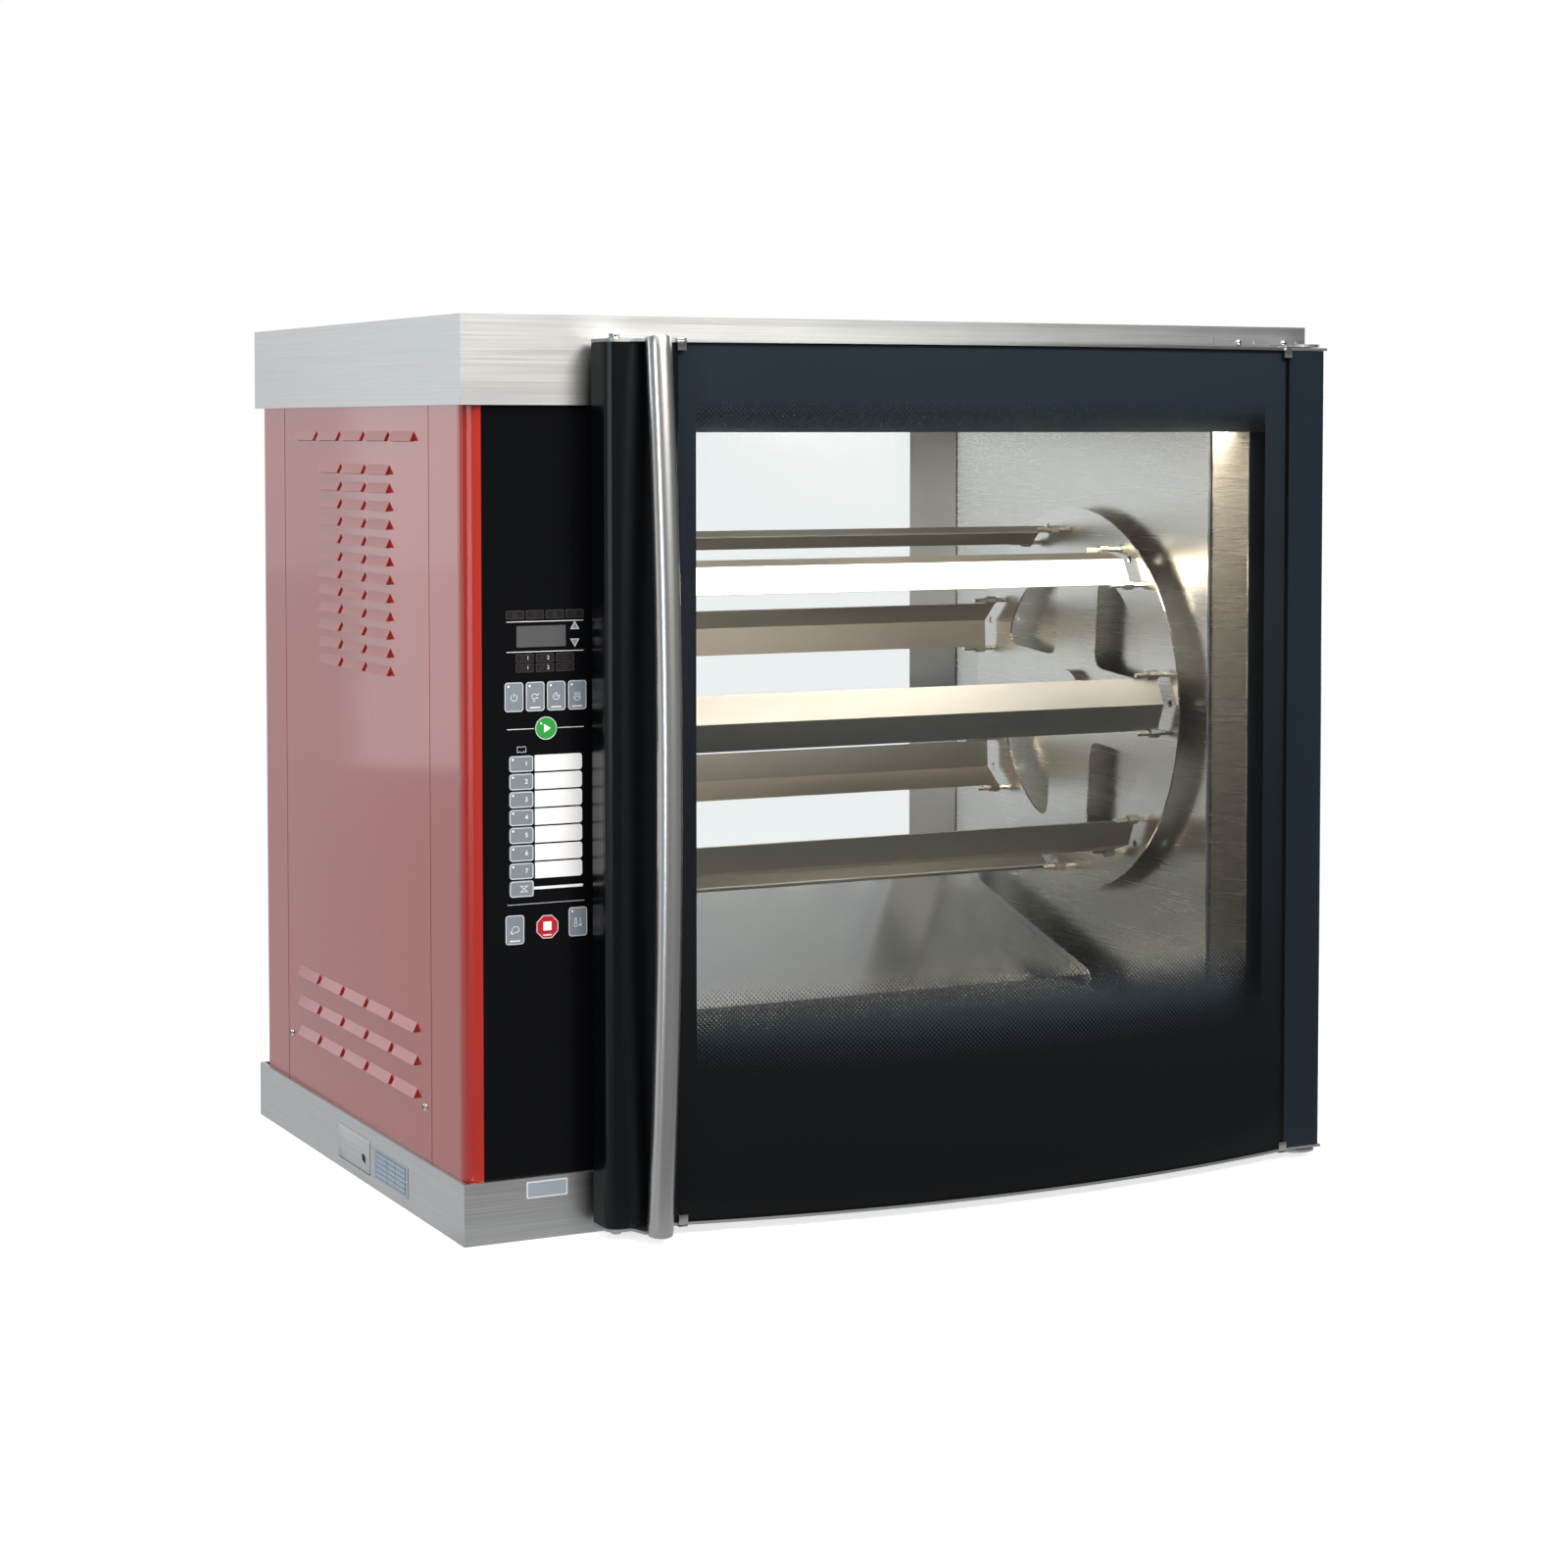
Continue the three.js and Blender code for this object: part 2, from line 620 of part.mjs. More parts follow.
function fanRotor() {
  const open = -sheet - gap - 5;
  const deep = open - fan.depth + fan.wall + 14;
  const back = rod("x", [0, 0], fan.radius, deep, deep + 2, 24);
  const shaft = rod("x", [0, 0], 6, deep - 34, deep + 12, 12);
  const blades = Array.from({ length: fan.blades }, (_, i) => {
    const blade = block([deep + 1, open], [fan.radius * 0.5, fan.radius - 1], [-1, 1]);
    return blade.rotate([i * (360 / fan.blades), 0, 0]);
  });
  return join(back, shaft, ...blades);
}

function heatingElement() {
  const z = cavityRoof - elementBelowRoof;
  const near = wallLeftX + elementTurnRoom;
  const far = wallRightX - elementTurnRoom;
  const runs = elementRows.map((y, i) => {
    const outermost = i === 0 || i === elementRows.length - 1;
    return rod("x", [y, z], elementRadius, outermost ? wallLeftX - elementTail : near, far, 8);
  });
  const bends = elementRows.slice(1).map((y, i) => {
    const middle = (y + elementRows[i]) / 2;
    const radius = (y - elementRows[i]) / 2;
    const atFar = i % 2 === 0;
    const points = arc([atFar ? far : near, middle], radius, atFar ? -90 : 270, 90, 8);
    const intoRun = (atFar ? -1 : 1) * elementOverlap;
    const [first, last] = [points[0], points[points.length - 1]];
    const path = [[first[0] + intoRun, first[1]], ...points, [last[0] + intoRun, last[1]]];
    const curve = new THREE.CatmullRomCurve3(path.map(([u, v]) => new THREE.Vector3(u, v, z)));
    return tubeAlong(curve, elementRadius, 8, 12);
  });
  return join(...runs, ...bends);
}

// ---------------------------------------------------------------- rotor, drawn about its own axis

const stationAngles = Array.from({ length: spitCount }, (_, i) => firstSpit + (i * 360) / spitCount);

// Y and Z of a point at a station: radial is away from the shaft, spread is around it.
function atStation(angleDeg, radial, spread = 0) {
  const angle = THREE.MathUtils.degToRad(angleDeg);
  return [
    -radial * Math.cos(angle) + spread * Math.sin(angle),
    radial * Math.sin(angle) + spread * Math.cos(angle),
  ];
}

// Rounds each corner of a closed outline that has a fillet radius; points are [u, v, radius].
function filletCorners(points, steps) {
  return points.flatMap(([u, v, radius], i) => {
    if (!radius) return [[u, v]];
    const corner = new THREE.Vector2(u, v);
    const before = new THREE.Vector2(...points[(i + points.length - 1) % points.length]);
    const after = new THREE.Vector2(...points[(i + 1) % points.length]);
    const toBefore = before.sub(corner).normalize();
    const toAfter = after.sub(corner).normalize();
    const half = Math.acos(THREE.MathUtils.clamp(toBefore.dot(toAfter), -1, 1)) / 2;
    const reach = radius / Math.tan(half);
    const start = corner.clone().addScaledVector(toBefore, reach);
    const end = corner.clone().addScaledVector(toAfter, reach);
    const bend = new THREE.QuadraticBezierCurve(start, corner, end);
    return bend.getPoints(steps).map((point) => [point.x, point.y]);
  });
}

function discCutout(quarter) {
  const half = spokeWidth / 2;
  const edge = THREE.MathUtils.radToDeg(Math.asin(half / discRimInner));
  const rim = arc([0, 0], discRimInner, edge, 90 - edge, 9);
  const inner = rim.slice(2, -2).map(([u, v]) => [u, v, 0]);
  const first = [...rim[0], cutoutFillet];
  const last = [...rim[rim.length - 1], cutoutFillet];
  const outline = filletCorners([[half, half, cutoutFillet], first, ...inner, last], 3);
  const turn = THREE.MathUtils.degToRad(quarter * 90 + spokeTurn);
  return outline.map(([u, v]) => [
    u * Math.cos(turn) - v * Math.sin(turn),
    u * Math.sin(turn) + v * Math.cos(turn),
  ]);
}

// inward is +1 when the cavity lies towards +X.
function disc(inward) {
  const plate = prism(
    "x",
    circle([0, 0], discRadius, 48),
    -discSheet / 2,
    discSheet / 2,
    [0, 1, 2, 3].map(discCutout),
  );
  const span = (a, b) => [Math.min(a * inward, b * inward), Math.max(a * inward, b * inward)];
  const hub = rod("x", [0, 0], hubRadius, ...span(-discSheet / 2, hubLength), 24);
  const pins = stationAngles.flatMap((angle) =>
    [-pinSpread, pinSpread].map((spread) =>
      rod("x", atStation(angle, pinRadial, spread), pinRadius, ...span(0, pinLength), 6),
    ),
  );
  const holes = stationAngles.map((angle) =>
    rod("x", atStation(angle, pegHoleRadial), pegHoleRadius, -5, 5, 8),
  );
  const bore = rod("x", [0, 0], shaftRadius + gap + 0.2, -hubLength - 1, hubLength + 1, 24);
  return cut(join(plate, hub, ...pins), bore, ...holes);
}

// A V of sheet with its ridge outwards; a loop at each corner slides over a disc's pin.
function spit() {
  const length = [driveDiscX + discSheet / 2 + spitEndGap, idlerDiscX - discSheet / 2 - spitEndGap];
  const vee = [
    [-spitEdgeRadial, -spitHalfWidth],
    [-spitApexRadial, 0],
    [-spitEdgeRadial, spitHalfWidth],
  ];
  const ends = [
    [length[0], length[0] + spitLoopLength],
    [length[1] - spitLoopLength, length[1]],
  ];
  const loops = ends.flatMap((end) =>
    [-pinSpread, pinSpread].map((spread) =>
      rod("x", [-pinRadial, spread], pinRadius + gap + spitLoopWall, ...end, 8),
    ),
  );
  const bores = [-pinSpread, pinSpread].map((spread) =>
    rod("x", [-pinRadial, spread], pinRadius + gap + 0.2, length[0] - 1, length[1] + 1, 8),
  );
  return cut(join(prism("x", bentSheet(vee, sheet), ...length), ...loops), ...bores);
}

function rotorShaft() {
  const bar = rod("x", [0, 0], shaftRadius, wallLeftX - 60, wallRightX + 16, 16);
  return bar;
}

function bearing(wallX, side) {
  const span = (a, b) => [wallX + Math.min(a * side, b * side), wallX + Math.max(a * side, b * side)];
  const flange = rod("x", [0, 0], bearingRadius, ...span(-gap - bearingFlange, -gap), 24);
  const bush = rod("x", [0, 0], shaftRadius + bushWall, ...span(-gap - 1, sheet + 8), 20);
  const bore = rod("x", [0, 0], shaftRadius + gap + 0.2, wallX - 30, wallX + 30, 24);
  return cut(join(flange, bush), bore);
}

// ---------------------------------------------------------------- front door, drawn about its hinge axis

const doorSpan = [doorX0 - hingeX, doorX1 - hingeX]; // X in the door's frame
const doorNear = doorBack - frontHingeY; // rear face
const doorFar = doorFace - frontHingeY; // front face at the edges
const stileZ = [doorLow + endPlate + gap, doorHigh - endPlate - gap];
const glassX = [doorSpan[0] + handleStile + gap, doorSpan[1] - hingeStile - gap];
const glassMid = (glassX[0] + glassX[1]) / 2;
const glassChord = glassX[1] - glassX[0];
const bowRadius = (glassChord ** 2 / 4 + glassBow ** 2) / (2 * glassBow);
const bowCentreY = doorFar - glassBow + bowRadius;

function bowLine(radius, steps) {
  const half = THREE.MathUtils.radToDeg(Math.asin(glassChord / 2 / bowRadius));
  return arc([glassMid, bowCentreY], radius, 270 - half, 270 + half, steps);
}

function doorGlassOuter() {
  const outline = [...bowLine(bowRadius, 24), ...bowLine(bowRadius - glassSheet, 24).reverse()];
  return prism("z", outline, ...stileZ);
}

function doorGlassInner() {
  return block([glassX[0], glassX[1]], [doorNear - glassSheet, doorNear], stileZ);
}

function hingePinHole(y = 0) {
  return rod("z", [0, y], hingePin + gap + 0.2, doorLow - 5, doorLow + hingePinReach + 6, 24).add(
    rod("z", [0, y], hingePin + gap + 0.2, doorHigh - hingePinReach - 6, doorHigh + 5, 24),
  );
}

function doorHandleStile() {
  const x0 = doorSpan[0];
  const x1 = doorSpan[0] + handleStile;
  const outline = [
    [x1, doorFar],
    [x1, doorNear],
    [x0, doorNear],
    ...arc([x0 + stileRound, doorFar + stileRound], stileRound, 180, 270, 5),
  ];
  return prism("z", outline, ...stileZ);
}

function doorHingeStile() {
  const x0 = doorSpan[1] - hingeStile;
  const x1 = doorSpan[1];
  const outline = [
    [x0, doorNear],
    [x0, doorFar],
    ...arc([x1 - 8, doorFar + 8], 8, 270, 360, 3),
    ...arc([x1 - 8, doorNear - 8], 8, 0, 90, 3),
  ];
  return cut(prism("z", outline, ...stileZ), hingePinHole());
}

const handleEndY = doorFar - handleStandOff;
const handleOffset = handleX - hingeX;

// The end plate follows the bowed glass and reaches out to the handle, which sits in a notch.
function doorEndPlate(low) {
  const ear = 22;
  const outline = [
    [doorSpan[1], doorNear],
    [doorSpan[0], doorNear],
    ...arc([doorSpan[0] + stileRound, doorFar + stileRound], stileRound, 180, 270, 4),
    [handleOffset - ear, doorFar],
    [handleOffset - ear + 6, handleEndY + 2],
    [handleOffset + ear - 6, handleEndY + 2],
    [handleOffset + ear, doorFar],
    ...bowLine(bowRadius, 24),
    [doorSpan[1], doorFar],
  ];
  const notch = rod("z", [handleOffset, handleEndY], handleRadius + gap, low - 1, low + endPlate + 1, 24);
  return cut(prism("z", outline, low, low + endPlate), notch, hingePinHole());
}

function doorHandle() {
  const mid = (doorLow + doorHigh) / 2;
  const ends = [doorLow - 0.5, doorHigh + 0.5];
  const half = (ends[1] - ends[0]) / 2;
  const radius = (half ** 2 + handleBow ** 2) / (2 * handleBow);
  const reach = THREE.MathUtils.radToDeg(Math.asin(half / radius));
  const points = arc([handleEndY - handleBow + radius, mid], radius, 180 + reach, 180 - reach, 16);
  const curve = new THREE.CatmullRomCurve3(points.map(([y, z]) => new THREE.Vector3(handleOffset, y, z)));
  return tubeAlong(curve, handleRadius, 12, 16);
}

// A bracket screwed to a band, with a leaf over the door's end and the pivot pin.
function hingeBracket(doorEnd, side) {
  const span = (a, b) => [doorEnd + Math.min(a * side, b * side), doorEnd + Math.max(a * side, b * side)];
  const bandFace = -hingeOut - doorStandOff;
  const x1 = hingeIn - 4;
  const foot = block(
    [x1 - bracketLength, x1],
    [-bandFace - gap - bracketSheet, -bandFace - gap],
    span(side > 0 ? hingeLeafGap : -3, bracketHeight - (side > 0 ? 0 : 5)),
  );
  const leafShape = [
    [-24, -bandFace - gap - weldSink],
    ...arc([-6, -4], 16, 200, 270, 4),
    ...arc([2, -6], 14, 270, 360, 4),
    [16, -bandFace - gap - weldSink],
  ];
  const leaf = prism("z", leafShape, ...span(hingeLeafGap, hingeLeafGap + hingeLeaf));
  const pin = rod("z", [0, 0], hingePin, ...span(-hingePinReach, hingeLeafGap + hingeLeaf));
  const screws = [-26, -82].map((x) => {
    const z = doorEnd + side * (side > 0 ? 7 : 4);
    return rod("y", [x1 + x - 4 + 26, z], 2.1, 0, 60, 8);
  });
  return cut(join(foot, leaf, pin), ...screws);
}

// ---------------------------------------------------------------- rear door, drawn about its hinge axis

const rearNear = rearDoorBack - rearHingeY;
const rearFar = rearDoorFace - rearHingeY;
const rearSpan = [doorX0 - rearHingeX, doorX1 - rearHingeX]; // X in the rear door's frame
const rearX = [rearSpan[0] + rearStile, rearSpan[1] - rearStile];
const rearZ = [doorLow + rearRail, doorHigh - rearRail];

function rearDoorFrame() {
  const slab = block(rearSpan, [rearNear, rearFar], [doorLow, doorHigh]);
  const window = block(rearX, [rearNear - 1, rearFar + 1], rearZ);
  const rebate = block(
    [rearX[0] - rearRebate, rearX[1] + rearRebate],
    [rearNear - 1, rearNear + rearGlassSheet + 2],
    [rearZ[0] - rearRebate, rearZ[1] + rearRebate],
  );
  return cut(slab, window, rebate, hingePinHole());
}

function rearDoorGlass() {
  return block(
    [rearX[0] - rearRebate + gap, rearX[1] + rearRebate - gap],
    [rearNear + 2 - gap, rearNear + 2 - gap + rearGlassSheet],
    [rearZ[0] - rearRebate + gap, rearZ[1] + rearRebate - gap],
  );
}

function rearDoorHandle() {
  const y = rearFar + rearHandleReach;
  const x = rearSpan[0] + handleIn;
  const bar = rod("z", [x, y], rearHandleRadius, rearHandleLow, rearHandleHigh, 14);
  const posts = [rearHandleLow + 28, rearHandleHigh - 28].map((z) =>
    rod("y", [x, z], 7, rearFar + gap, y, 10),
  );
  return join(bar, ...posts);
}

// ---------------------------------------------------------------- the assembly

const oven = new THREE.Group();
const cabinet = new THREE.Group();
const rotor = new THREE.Group();
const frontDoor = new THREE.Group();
const rearDoor = new THREE.Group();
rotor.position.set(0, axisY, rotorAxisUp);
frontDoor.position.set(hingeX, frontHingeY, 0);
rearDoor.position.set(rearHingeX, rearHingeY, 0);
oven.add(cabinet, rotor, frontDoor, rearDoor);

place(cabinet, "base_pan", tray(0, baseBand, true), "stainless");
place(cabinet, "top_cover", tray(bandTopLow, height, false), "stainless");
place(cabinet, "left_front_corner", leftFrontCorner(), "redCoat");
place(cabinet, "louvred_side_panel", louvredSidePanel(), "redCoat");
place(cabinet, "right_side_panel", rightSidePanel(), "redCoat");
place(cabinet, "front_frame", frontFrame(), "stainless");
place(cabinet, "rear_frame", rearFrame(), "redCoat");
place(cabinet, "control_panel", controlPanel(), "blackGlass");
const floorPlate = block(cavityMouth.x, wallY, [cavityFloor - sheet, cavityFloor]);
const roofPlate = block(cavityMouth.x, wallY, [cavityRoof, cavityRoof + sheet]);
place(cabinet, "cavity_floor", floorPlate, "stainless");
place(cabinet, "cavity_roof", roofPlate, "stainless");
place(cabinet, "cavity_left_wall", cavityLeftWall(), "stainless");
place(cabinet, "cavity_right_wall", cavityRightWall(), "stainless");
place(cabinet, "drip_pan", dripPan(), "stainless");
place(cabinet, "gear_motor", gearMotor(), "motorPaint");
place(cabinet, "control_board", controlBoard(), "boardGreen");
place(cabinet, "fan_housing", fanHousing(), "stainless");
place(cabinet, "heating_element", heatingElement(), "elementSteel");
keys.forEach((key) => place(cabinet, key.name, keyBody(key), key.material, keyPlace(key)));
place(cabinet, "fan_rotor", fanRotor(), "stainless", [wallLeftX, fan.y, fan.z]);

place(rotor, "drive_bearing", bearing(wallLeftX, -1), "bronze");
place(rotor, "idler_bearing", bearing(wallRightX, 1), "bronze");
place(rotor, "rotor_shaft", rotorShaft(), "stainless");
place(rotor, "drive_disc", disc(1), "stainless", [driveDiscX, 0, 0]);
place(rotor, "idler_disc", disc(-1), "stainless", [idlerDiscX, 0, 0]);
stationAngles.forEach((angle, i) => {
  const turn = THREE.MathUtils.degToRad(-angle);
  place(rotor, "spit_" + (i + 1), spit(), "stainless", [0, 0, 0], turn);
});

place(frontDoor, "door_glass_outer", doorGlassOuter(), "blackGlass");
place(frontDoor, "door_glass_inner", doorGlassInner(), "clearGlass");
place(frontDoor, "door_handle_stile", doorHandleStile(), "blackPaint");
place(frontDoor, "door_hinge_stile", doorHingeStile(), "blackPaint");
place(frontDoor, "door_top_plate", doorEndPlate(doorHigh - endPlate), "stainless");
place(frontDoor, "door_bottom_plate", doorEndPlate(doorLow), "stainless");
place(frontDoor, "door_handle", doorHandle(), "stainless");
place(frontDoor, "hinge_bracket_top", hingeBracket(doorHigh, 1), "stainless");
place(frontDoor, "hinge_bracket_bottom", hingeBracket(doorLow, -1), "stainless");

place(rearDoor, "rear_door_frame", rearDoorFrame(), "blackPaint");
place(rearDoor, "rear_door_glass", rearDoorGlass(), "clearGlass");
place(rearDoor, "rear_door_handle", rearDoorHandle(), "stainless");

export default oven;
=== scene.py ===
import math

import bmesh
import bpy
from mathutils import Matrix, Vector


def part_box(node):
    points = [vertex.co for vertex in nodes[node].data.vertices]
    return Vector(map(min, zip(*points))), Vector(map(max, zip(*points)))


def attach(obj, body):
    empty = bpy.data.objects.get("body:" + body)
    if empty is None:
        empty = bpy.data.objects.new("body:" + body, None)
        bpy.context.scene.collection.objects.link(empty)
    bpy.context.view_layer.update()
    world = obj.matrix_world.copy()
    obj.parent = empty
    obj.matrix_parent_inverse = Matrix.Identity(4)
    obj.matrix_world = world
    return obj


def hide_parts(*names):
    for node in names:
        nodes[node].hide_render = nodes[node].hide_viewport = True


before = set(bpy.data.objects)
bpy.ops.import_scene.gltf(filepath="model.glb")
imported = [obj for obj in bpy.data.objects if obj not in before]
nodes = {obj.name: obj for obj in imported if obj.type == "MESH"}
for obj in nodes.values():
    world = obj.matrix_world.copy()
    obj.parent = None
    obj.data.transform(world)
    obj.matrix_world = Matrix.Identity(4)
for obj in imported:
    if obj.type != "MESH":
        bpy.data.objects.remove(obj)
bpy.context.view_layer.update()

mm = 0.001


def linear(hexColour):
    channels = [int(hexColour[i : i + 2], 16) / 255 for i in (1, 3, 5)]
    return [c / 12.92 if c <= 0.04045 else ((c + 0.055) / 1.055) ** 2.4 for c in channels] + [1.0]


def addNode(tree, kind, inputs=None, **settings):
    node = tree.nodes.new("ShaderNode" + kind)
    for key, value in settings.items():
        setattr(node, key, value)
    for key, value in (inputs or {}).items():
        if isinstance(value, bpy.types.Node):
            value = value.outputs[0]
        if isinstance(value, bpy.types.NodeSocket):
            tree.links.new(value, node.inputs[key])
        else:
            node.inputs[key].default_value = value
    return node


def newMaterial(name):
    material = bpy.data.materials.new(name)
    material.use_nodes = True
    material.node_tree.nodes.clear()
    return material, material.node_tree


def finished(material, shader):
    tree = material.node_tree
    addNode(tree, "OutputMaterial", {"Surface": shader})
    return material


def between(tree, factor, low, high):
    return addNode(tree, "Mix", {0: factor, 6: low, 7: high}, data_type="RGBA").outputs[2]


def spread(tree, factor, low, high, start=0.0, end=1.0):
    inputs = {"Value": factor, "From Min": start, "From Max": end, "To Min": low, "To Max": high}
    return addNode(tree, "MapRange", inputs)


# Fine lines: noise drawn out along every axis but the one across the lines.
def grainLines(tree, acrossAxis, pitch, drawnOut):
    place = addNode(tree, "TexCoord").outputs["Object"]
    scale = [1 / (pitch * drawnOut)] * 3
    scale[acrossAxis] = 1 / pitch
    stretched = addNode(tree, "Mapping", {"Vector": place, "Scale": scale})
    return addNode(tree, "TexNoise", {"Vector": stretched, "Scale": 1.0, "Detail": 3.0})


def blotches(tree, size, detail=3.0):
    place = addNode(tree, "TexCoord").outputs["Object"]
    return addNode(tree, "TexNoise", {"Vector": place, "Scale": 1 / size, "Detail": detail})


print("materials")

# Brushed 430 stainless, No. 4 belt finish: long fine parallel lines that pull highlights out across
# them, cool grey with faint handling marks. The real lines are 0.05 to 0.1 mm apart; they are drawn
# 0.9 mm apart so that they show.
brushedSteel = {
    "light": "#ced0d0", "dark": "#c3c5c5", "pitch": 0.9 * mm, "drawnOut": 220,
    "rough": 0.36, "sway": 0.035, "relief": 0.035,
}
# The cavity's sheet is smoother and a little warm in tone; its lines are drawn coarser still.
cavitySteel = {
    "light": "#d8d5cf", "dark": "#d7d4ce", "pitch": 1.6 * mm, "drawnOut": 110,
    "rough": 0.27, "sway": 0.006, "relief": 0.0008,
}
panSteel = {
    "light": "#dddcd8", "dark": "#dad9d4", "pitch": 1.2 * mm, "drawnOut": 90,
    "rough": 0.16, "sway": 0.01, "relief": 0.002,
}


def steel(name, look, across=2, acrossFlat=1, stretch=0.55):
    material, tree = newMaterial(name)
    normal = addNode(tree, "SeparateXYZ", {0: addNode(tree, "TexCoord").outputs["Normal"]}).outputs["Z"]
    upright = addNode(tree, "Math", {0: normal}, operation="ABSOLUTE")
    isFlat = addNode(tree, "Math", {0: upright, 1: 0.7}, operation="GREATER_THAN")
    standing = grainLines(tree, across, look["pitch"], look["drawnOut"])
    lying = grainLines(tree, acrossFlat, look["pitch"], look["drawnOut"])
    lines = addNode(tree, "Mix", {0: isFlat, 2: standing, 3: lying}).outputs[0]
    marks = blotches(tree, 90 * mm)
    both = addNode(tree, "Math", {0: lines, 1: spread(tree, marks, -0.12, 0.12)}, operation="ADD")
    ramp = spread(tree, both, 0.0, 1.0, 0.35, 0.65)
    rough = spread(tree, both, look["rough"] - look["sway"], look["rough"] + look["sway"], 0.3, 0.7)
    bump = addNode(tree, "Bump", {"Strength": look["relief"], "Distance": 0.02 * mm, "Height": lines})
    surface = addNode(tree, "BsdfPrincipled", {
        "Base Color": between(tree, ramp, linear(look["dark"]), linear(look["light"])),
        "Metallic": 1.0, "Roughness": rough, "Anisotropic": stretch, "Anisotropic Rotation": 0.25,
        "Normal": bump,
    })
    return finished(material, surface)


brushedStainless = steel("brushedStainless", brushedSteel)
cavityStainless = steel("cavityStainless", cavitySteel)
panStainless = steel("panStainless", panSteel, across=0, acrossFlat=0, stretch=0.3)

discStainless = steel("discStainless", {**cavitySteel, "light": "#dedbd5", "dark": "#dbd8d2"}, stretch=0.3)
# The spits are drawn greyer and duller than the walls: the grey is painted shade that tones down their
# highlight under the cavity lamps.
spitSteelShaded = {**cavitySteel, "light": "#adaba6", "dark": "#aba9a3", "rough": 0.44}
spitStainlessShaded = steel("spitStainlessShaded", spitSteelShaded, stretch=0.2)
# The handle is polished tube: lighter and smoother, with hardly any line in it.
handleSteel = {
    **brushedSteel, "light": "#e6e4e2", "dark": "#e3e1de", "rough": 0.31, "sway": 0.008, "relief": 0.002,
}
tubeStainless = steel("tubeStainless", handleSteel, stretch=0.3)


# Powder coat over steel sheet, baked gloss polyester: deep red with a faint orange peel, a slightly
# darker cast where it is thin, and a strong pale sheen at a low angle.
powderCoat = {"red": "#ae2c21", "deep": "#a8291e", "peel": 2.2 * mm, "cast": 160 * mm}


def redPowder():
    material, tree = newMaterial("redPowderCoat")
    peel = blotches(tree, powderCoat["peel"], 1.0)
    cast = blotches(tree, powderCoat["cast"], 1.0)
    bump = addNode(tree, "Bump", {"Strength": 0.035, "Distance": 0.03 * mm, "Height": peel})
    surface = addNode(tree, "BsdfPrincipled", {
        "Base Color": between(tree, cast, linear(powderCoat["deep"]), linear(powderCoat["red"])),
        "Roughness": spread(tree, cast, 0.25, 0.28), "IOR": 1.35, "Normal": bump,
        "Coat Weight": 1.0, "Coat Roughness": 0.07, "Coat IOR": 1.55,
    })
    return finished(material, surface)


redPowderCoat = redPowder()


# Plastics, paints, inks and plated parts: two close shades in broad clouds and a fine surface texture.
def moulded(name, colour, second, rough, texture, depth=0.02, metallic=0.0, coat=0.0, peel=0.1, ior=1.5):
    material, tree = newMaterial(name)
    fine = blotches(tree, texture, 2.0)
    broad = blotches(tree, 60 * mm)
    bump = addNode(tree, "Bump", {"Strength": peel, "Distance": depth * mm, "Height": fine})
    inputs = {
        "Base Color": between(tree, broad, linear(colour), linear(second)), "Metallic": metallic,
        "Roughness": spread(tree, fine, rough * 0.88, rough * 1.15), "Normal": bump,
        "Coat Weight": coat, "Coat Roughness": 0.08,
    }
    if metallic < 0.5:
        inputs["IOR"] = ior
    return finished(material, addNode(tree, "BsdfPrincipled", inputs))


# Polyester overlay film, printed black on the back: glossy, near black, barely any texture.
overlayFilm = moulded("overlayFilm", "#0a0b0d", "#0c0d10", 0.14, 3 * mm, peel=0.03, ior=1.28)
# Black anodised aluminium extrusion: satin, slightly blue, with sharp bright edges in the light.
blackAnodised = moulded("blackAnodised", "#05070a", "#070a0d", 0.24, 0.8 * mm, peel=0.03, ior=1.42)
# The same extrusion on the hinge side, drawn lighter and bluer: a painted reflection of the studio's
# blue-grey glow.
hingeAnodisedReflection = moulded("blackAnodisedReflection", "#1a242d", "#172029", 0.24, 0.8 * mm, peel=0.03, ior=1.42)
# Grey alkyd paint on the gear motor's casting: softly glossy, a little uneven.
motorPaint = moulded("motorPaint", "#6d7276", "#62676b", 0.45, 1.5 * mm, peel=0.2)
# Hot-dip galvanised sheet of the fan and its housing: mid grey metal with broad soft spangle.
fanSteel = moulded("galvanisedSteel", "#9da3a6", "#8b9093", 0.42, 9 * mm, metallic=1.0, peel=0.1)
# Glass-epoxy circuit board under green solder resist: glossy deep green.
boardGreen = moulded("solderResistBoard", "#1d5a36", "#174b2d", 0.35, 2 * mm)
# Incoloy element sheath, oxidised by heat: dull brownish grey metal.
elementSheath = moulded("oxidisedSheath", "#5a5552", "#453f3b", 0.5, 1.5 * mm, metallic=1.0, peel=0.3)
# Sintered bronze bush: warm brown metal, slightly porous.
sinteredBronze = moulded("sinteredBronze", "#a87b43", "#8f6636", 0.4, 0.8 * mm, metallic=1.0, peel=0.3)
# Screen-printed film over domed keys: satin blue-grey, green and red inks.
greyKeyInk = moulded("greyKeyInk", "#828b93", "#7d868e", 0.4, 1.5 * mm, peel=0.05)
greenKeyInk = moulded("greenKeyInk", "#2ba33f", "#289b3c", 0.4, 1.5 * mm, peel=0.05)
redKeyInk = moulded("redKeyInk", "#be202e", "#b31d2b", 0.4, 1.5 * mm, peel=0.05)
whiteInk = moulded("whiteInk", "#ffffff", "#fcfcfc", 0.45, 1.5 * mm, peel=0.05)
paleInk = moulded("paleInk", "#d9dde0", "#d2d6da", 0.45, 1.5 * mm, peel=0.05)
dimInk = moulded("dimInk", "#4a4245", "#443d40", 0.45, 1.5 * mm, peel=0.05)
dimFill = moulded("dimFill", "#1a1718", "#171415", 0.35, 1.5 * mm, peel=0.05)
# Smoked display lens, cast acrylic: flat dark grey with a polished face.
displayLens = moulded("displayLens", "#58595b", "#545557", 0.25, 3 * mm, peel=0.03)
